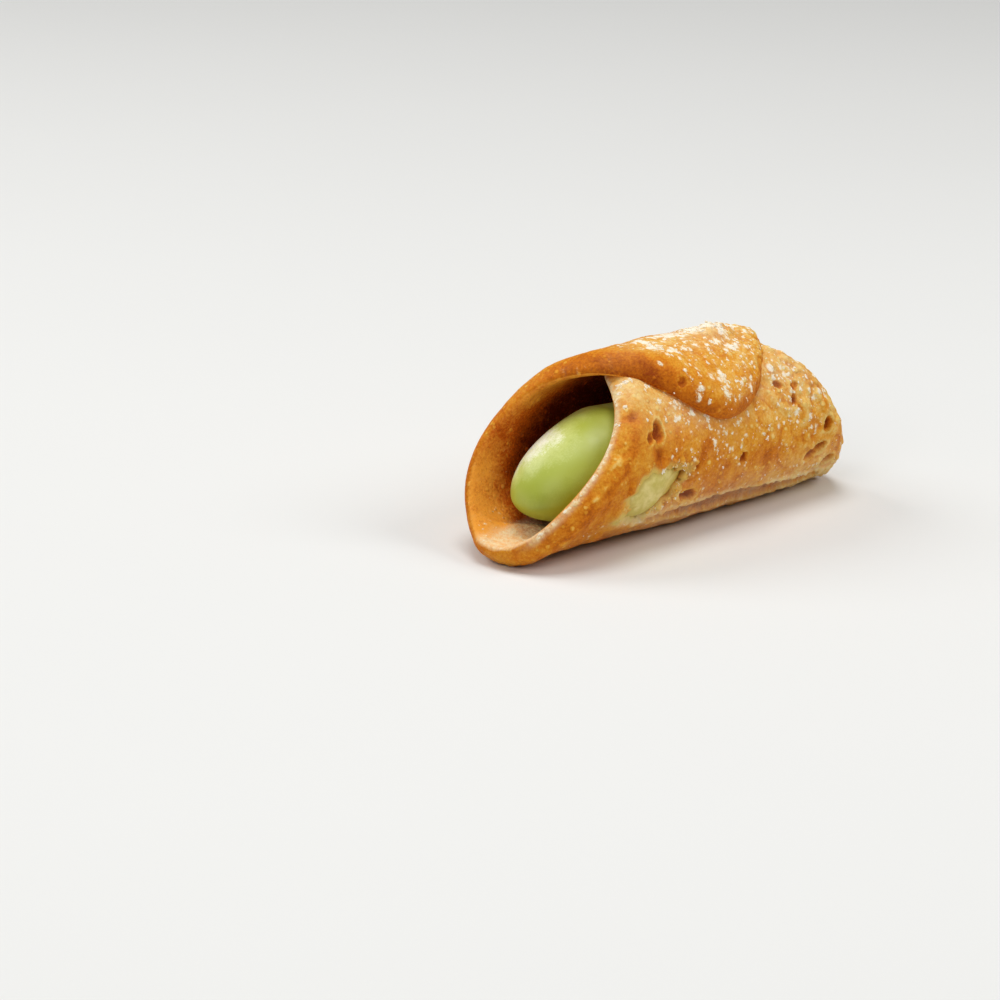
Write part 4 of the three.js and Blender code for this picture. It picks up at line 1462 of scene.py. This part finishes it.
def add_floor(settings):
    mesh = bpy.data.meshes.new("floor")
    half = FLOOR_HALF
    corners = [(-half, -half, 0), (half, -half, 0), (half, half, 0), (-half, half, 0)]
    mesh.from_pydata(corners, [], [(0, 1, 2, 3)])
    mesh.materials.append(floor_material(settings, shared_groups()))
    floor = bpy.data.objects.new("floor", mesh)
    floor.location.z = -FLOOR_DROP
    bpy.context.scene.collection.objects.link(floor)


def add_light(name, power, place, target):
    light = bpy.data.lights.new(name, "AREA")
    light.shape = "DISK"
    light.size = LIGHT_SIZE
    light.energy = power
    lamp = bpy.data.objects.new(name, light)
    lamp.location = place
    lamp.rotation_euler = (target - place).to_track_quat("-Z", "Y").to_euler()
    bpy.context.scene.collection.objects.link(lamp)


def add_camera(settings, middle):
    """A long lens that looks past the part, so that the part stands right of the middle."""
    azimuth, elevation = CAMERA_AZIMUTH, CAMERA_ELEVATION
    away = Vector((sin(azimuth) * cos(elevation), -cos(azimuth) * cos(elevation), sin(elevation)))
    right = Vector((cos(azimuth), sin(azimuth), 0))
    data = bpy.data.cameras.new("Camera")
    data.sensor_width = SENSOR_MM
    data.lens = settings.lens
    data.clip_end = 20
    focal_px = settings.lens / SENSOR_MM * WIDTH_PX
    aside = Vector((RIGHT_PX, UP_PX, -focal_px)).rotation_difference(Vector((0, 0, -1)))
    axes = Matrix((right, away.cross(right), away)).transposed() @ aside.to_matrix()
    camera = bpy.data.objects.new("Camera", data)
    place = middle + away * CAMERA_DISTANCE
    camera.matrix_world = Matrix.Translation(place) @ axes.to_4x4()
    bpy.context.scene.collection.objects.link(camera)
    return camera


class CANNOLO_OT_studio(bpy.types.Operator):
    """Make the floor, the lights and the camera"""

    bl_idname = "cannolo.studio"
    bl_label = "Studio"

    def execute(self, context):
        settings = context.scene.cannolo_studio
        scene = context.scene
        scene.view_settings.view_transform = "Standard"
        add_floor(settings)
        world = bpy.data.worlds.new("Surround")
        scene.world = world
        world.use_nodes = True
        background = world.node_tree.nodes["Background"]
        background.inputs["Color"].default_value = (1, 1, 1, 1)
        background.inputs["Strength"].default_value = settings.surround
        middle = Vector(to_part(np.zeros(3)))
        for name, place in LIGHTS.items():
            power = getattr(settings, name.lower() + "_power")
            add_light(name, power, Vector(place), middle)
        scene.camera = add_camera(settings, middle)
        return {"FINISHED"}


class CANNOLO_PT_panel(bpy.types.Panel):
    """The cannolo's pieces and their settings"""

    bl_idname = "CANNOLO_PT_panel"
    bl_label = "Cannolo"
    bl_space_type = "VIEW_3D"
    bl_region_type = "UI"
    bl_category = "Cannolo"

    def draw(self, context):
        for operator, group in PIECES:
            box = self.layout.box()
            box.operator(operator.bl_idname)
            settings = getattr(context.scene, group)
            for name in settings.__annotations__:
                box.prop(settings, name)


PIECES = [
    (CANNOLO_OT_shell, "cannolo_shell"),
    (CANNOLO_OT_cream, "cannolo_cream"),
    (CANNOLO_OT_sugar, "cannolo_sugar"),
    (CANNOLO_OT_studio, "cannolo_studio"),
]
GROUPS = {
    "cannolo_shell": ShellSettings,
    "cannolo_cream": CreamSettings,
    "cannolo_sugar": SugarSettings,
    "cannolo_studio": StudioSettings,
}


def register():
    for name, group in GROUPS.items():
        bpy.utils.register_class(group)
        setattr(bpy.types.Scene, name, PointerProperty(type=group))
    for operator, _ in PIECES:
        bpy.utils.register_class(operator)
    bpy.utils.register_class(CANNOLO_PT_panel)


def unregister():
    bpy.utils.unregister_class(CANNOLO_PT_panel)
    for operator, _ in PIECES:
        bpy.utils.unregister_class(operator)
    for name, group in GROUPS.items():
        delattr(bpy.types.Scene, name)
        bpy.utils.unregister_class(group)


def main():
    register()
    bpy.ops.cannolo.shell()
    bpy.ops.cannolo.cream()
    bpy.ops.cannolo.sugar()
    bpy.ops.cannolo.studio()


if __name__ == "__main__":
    main()
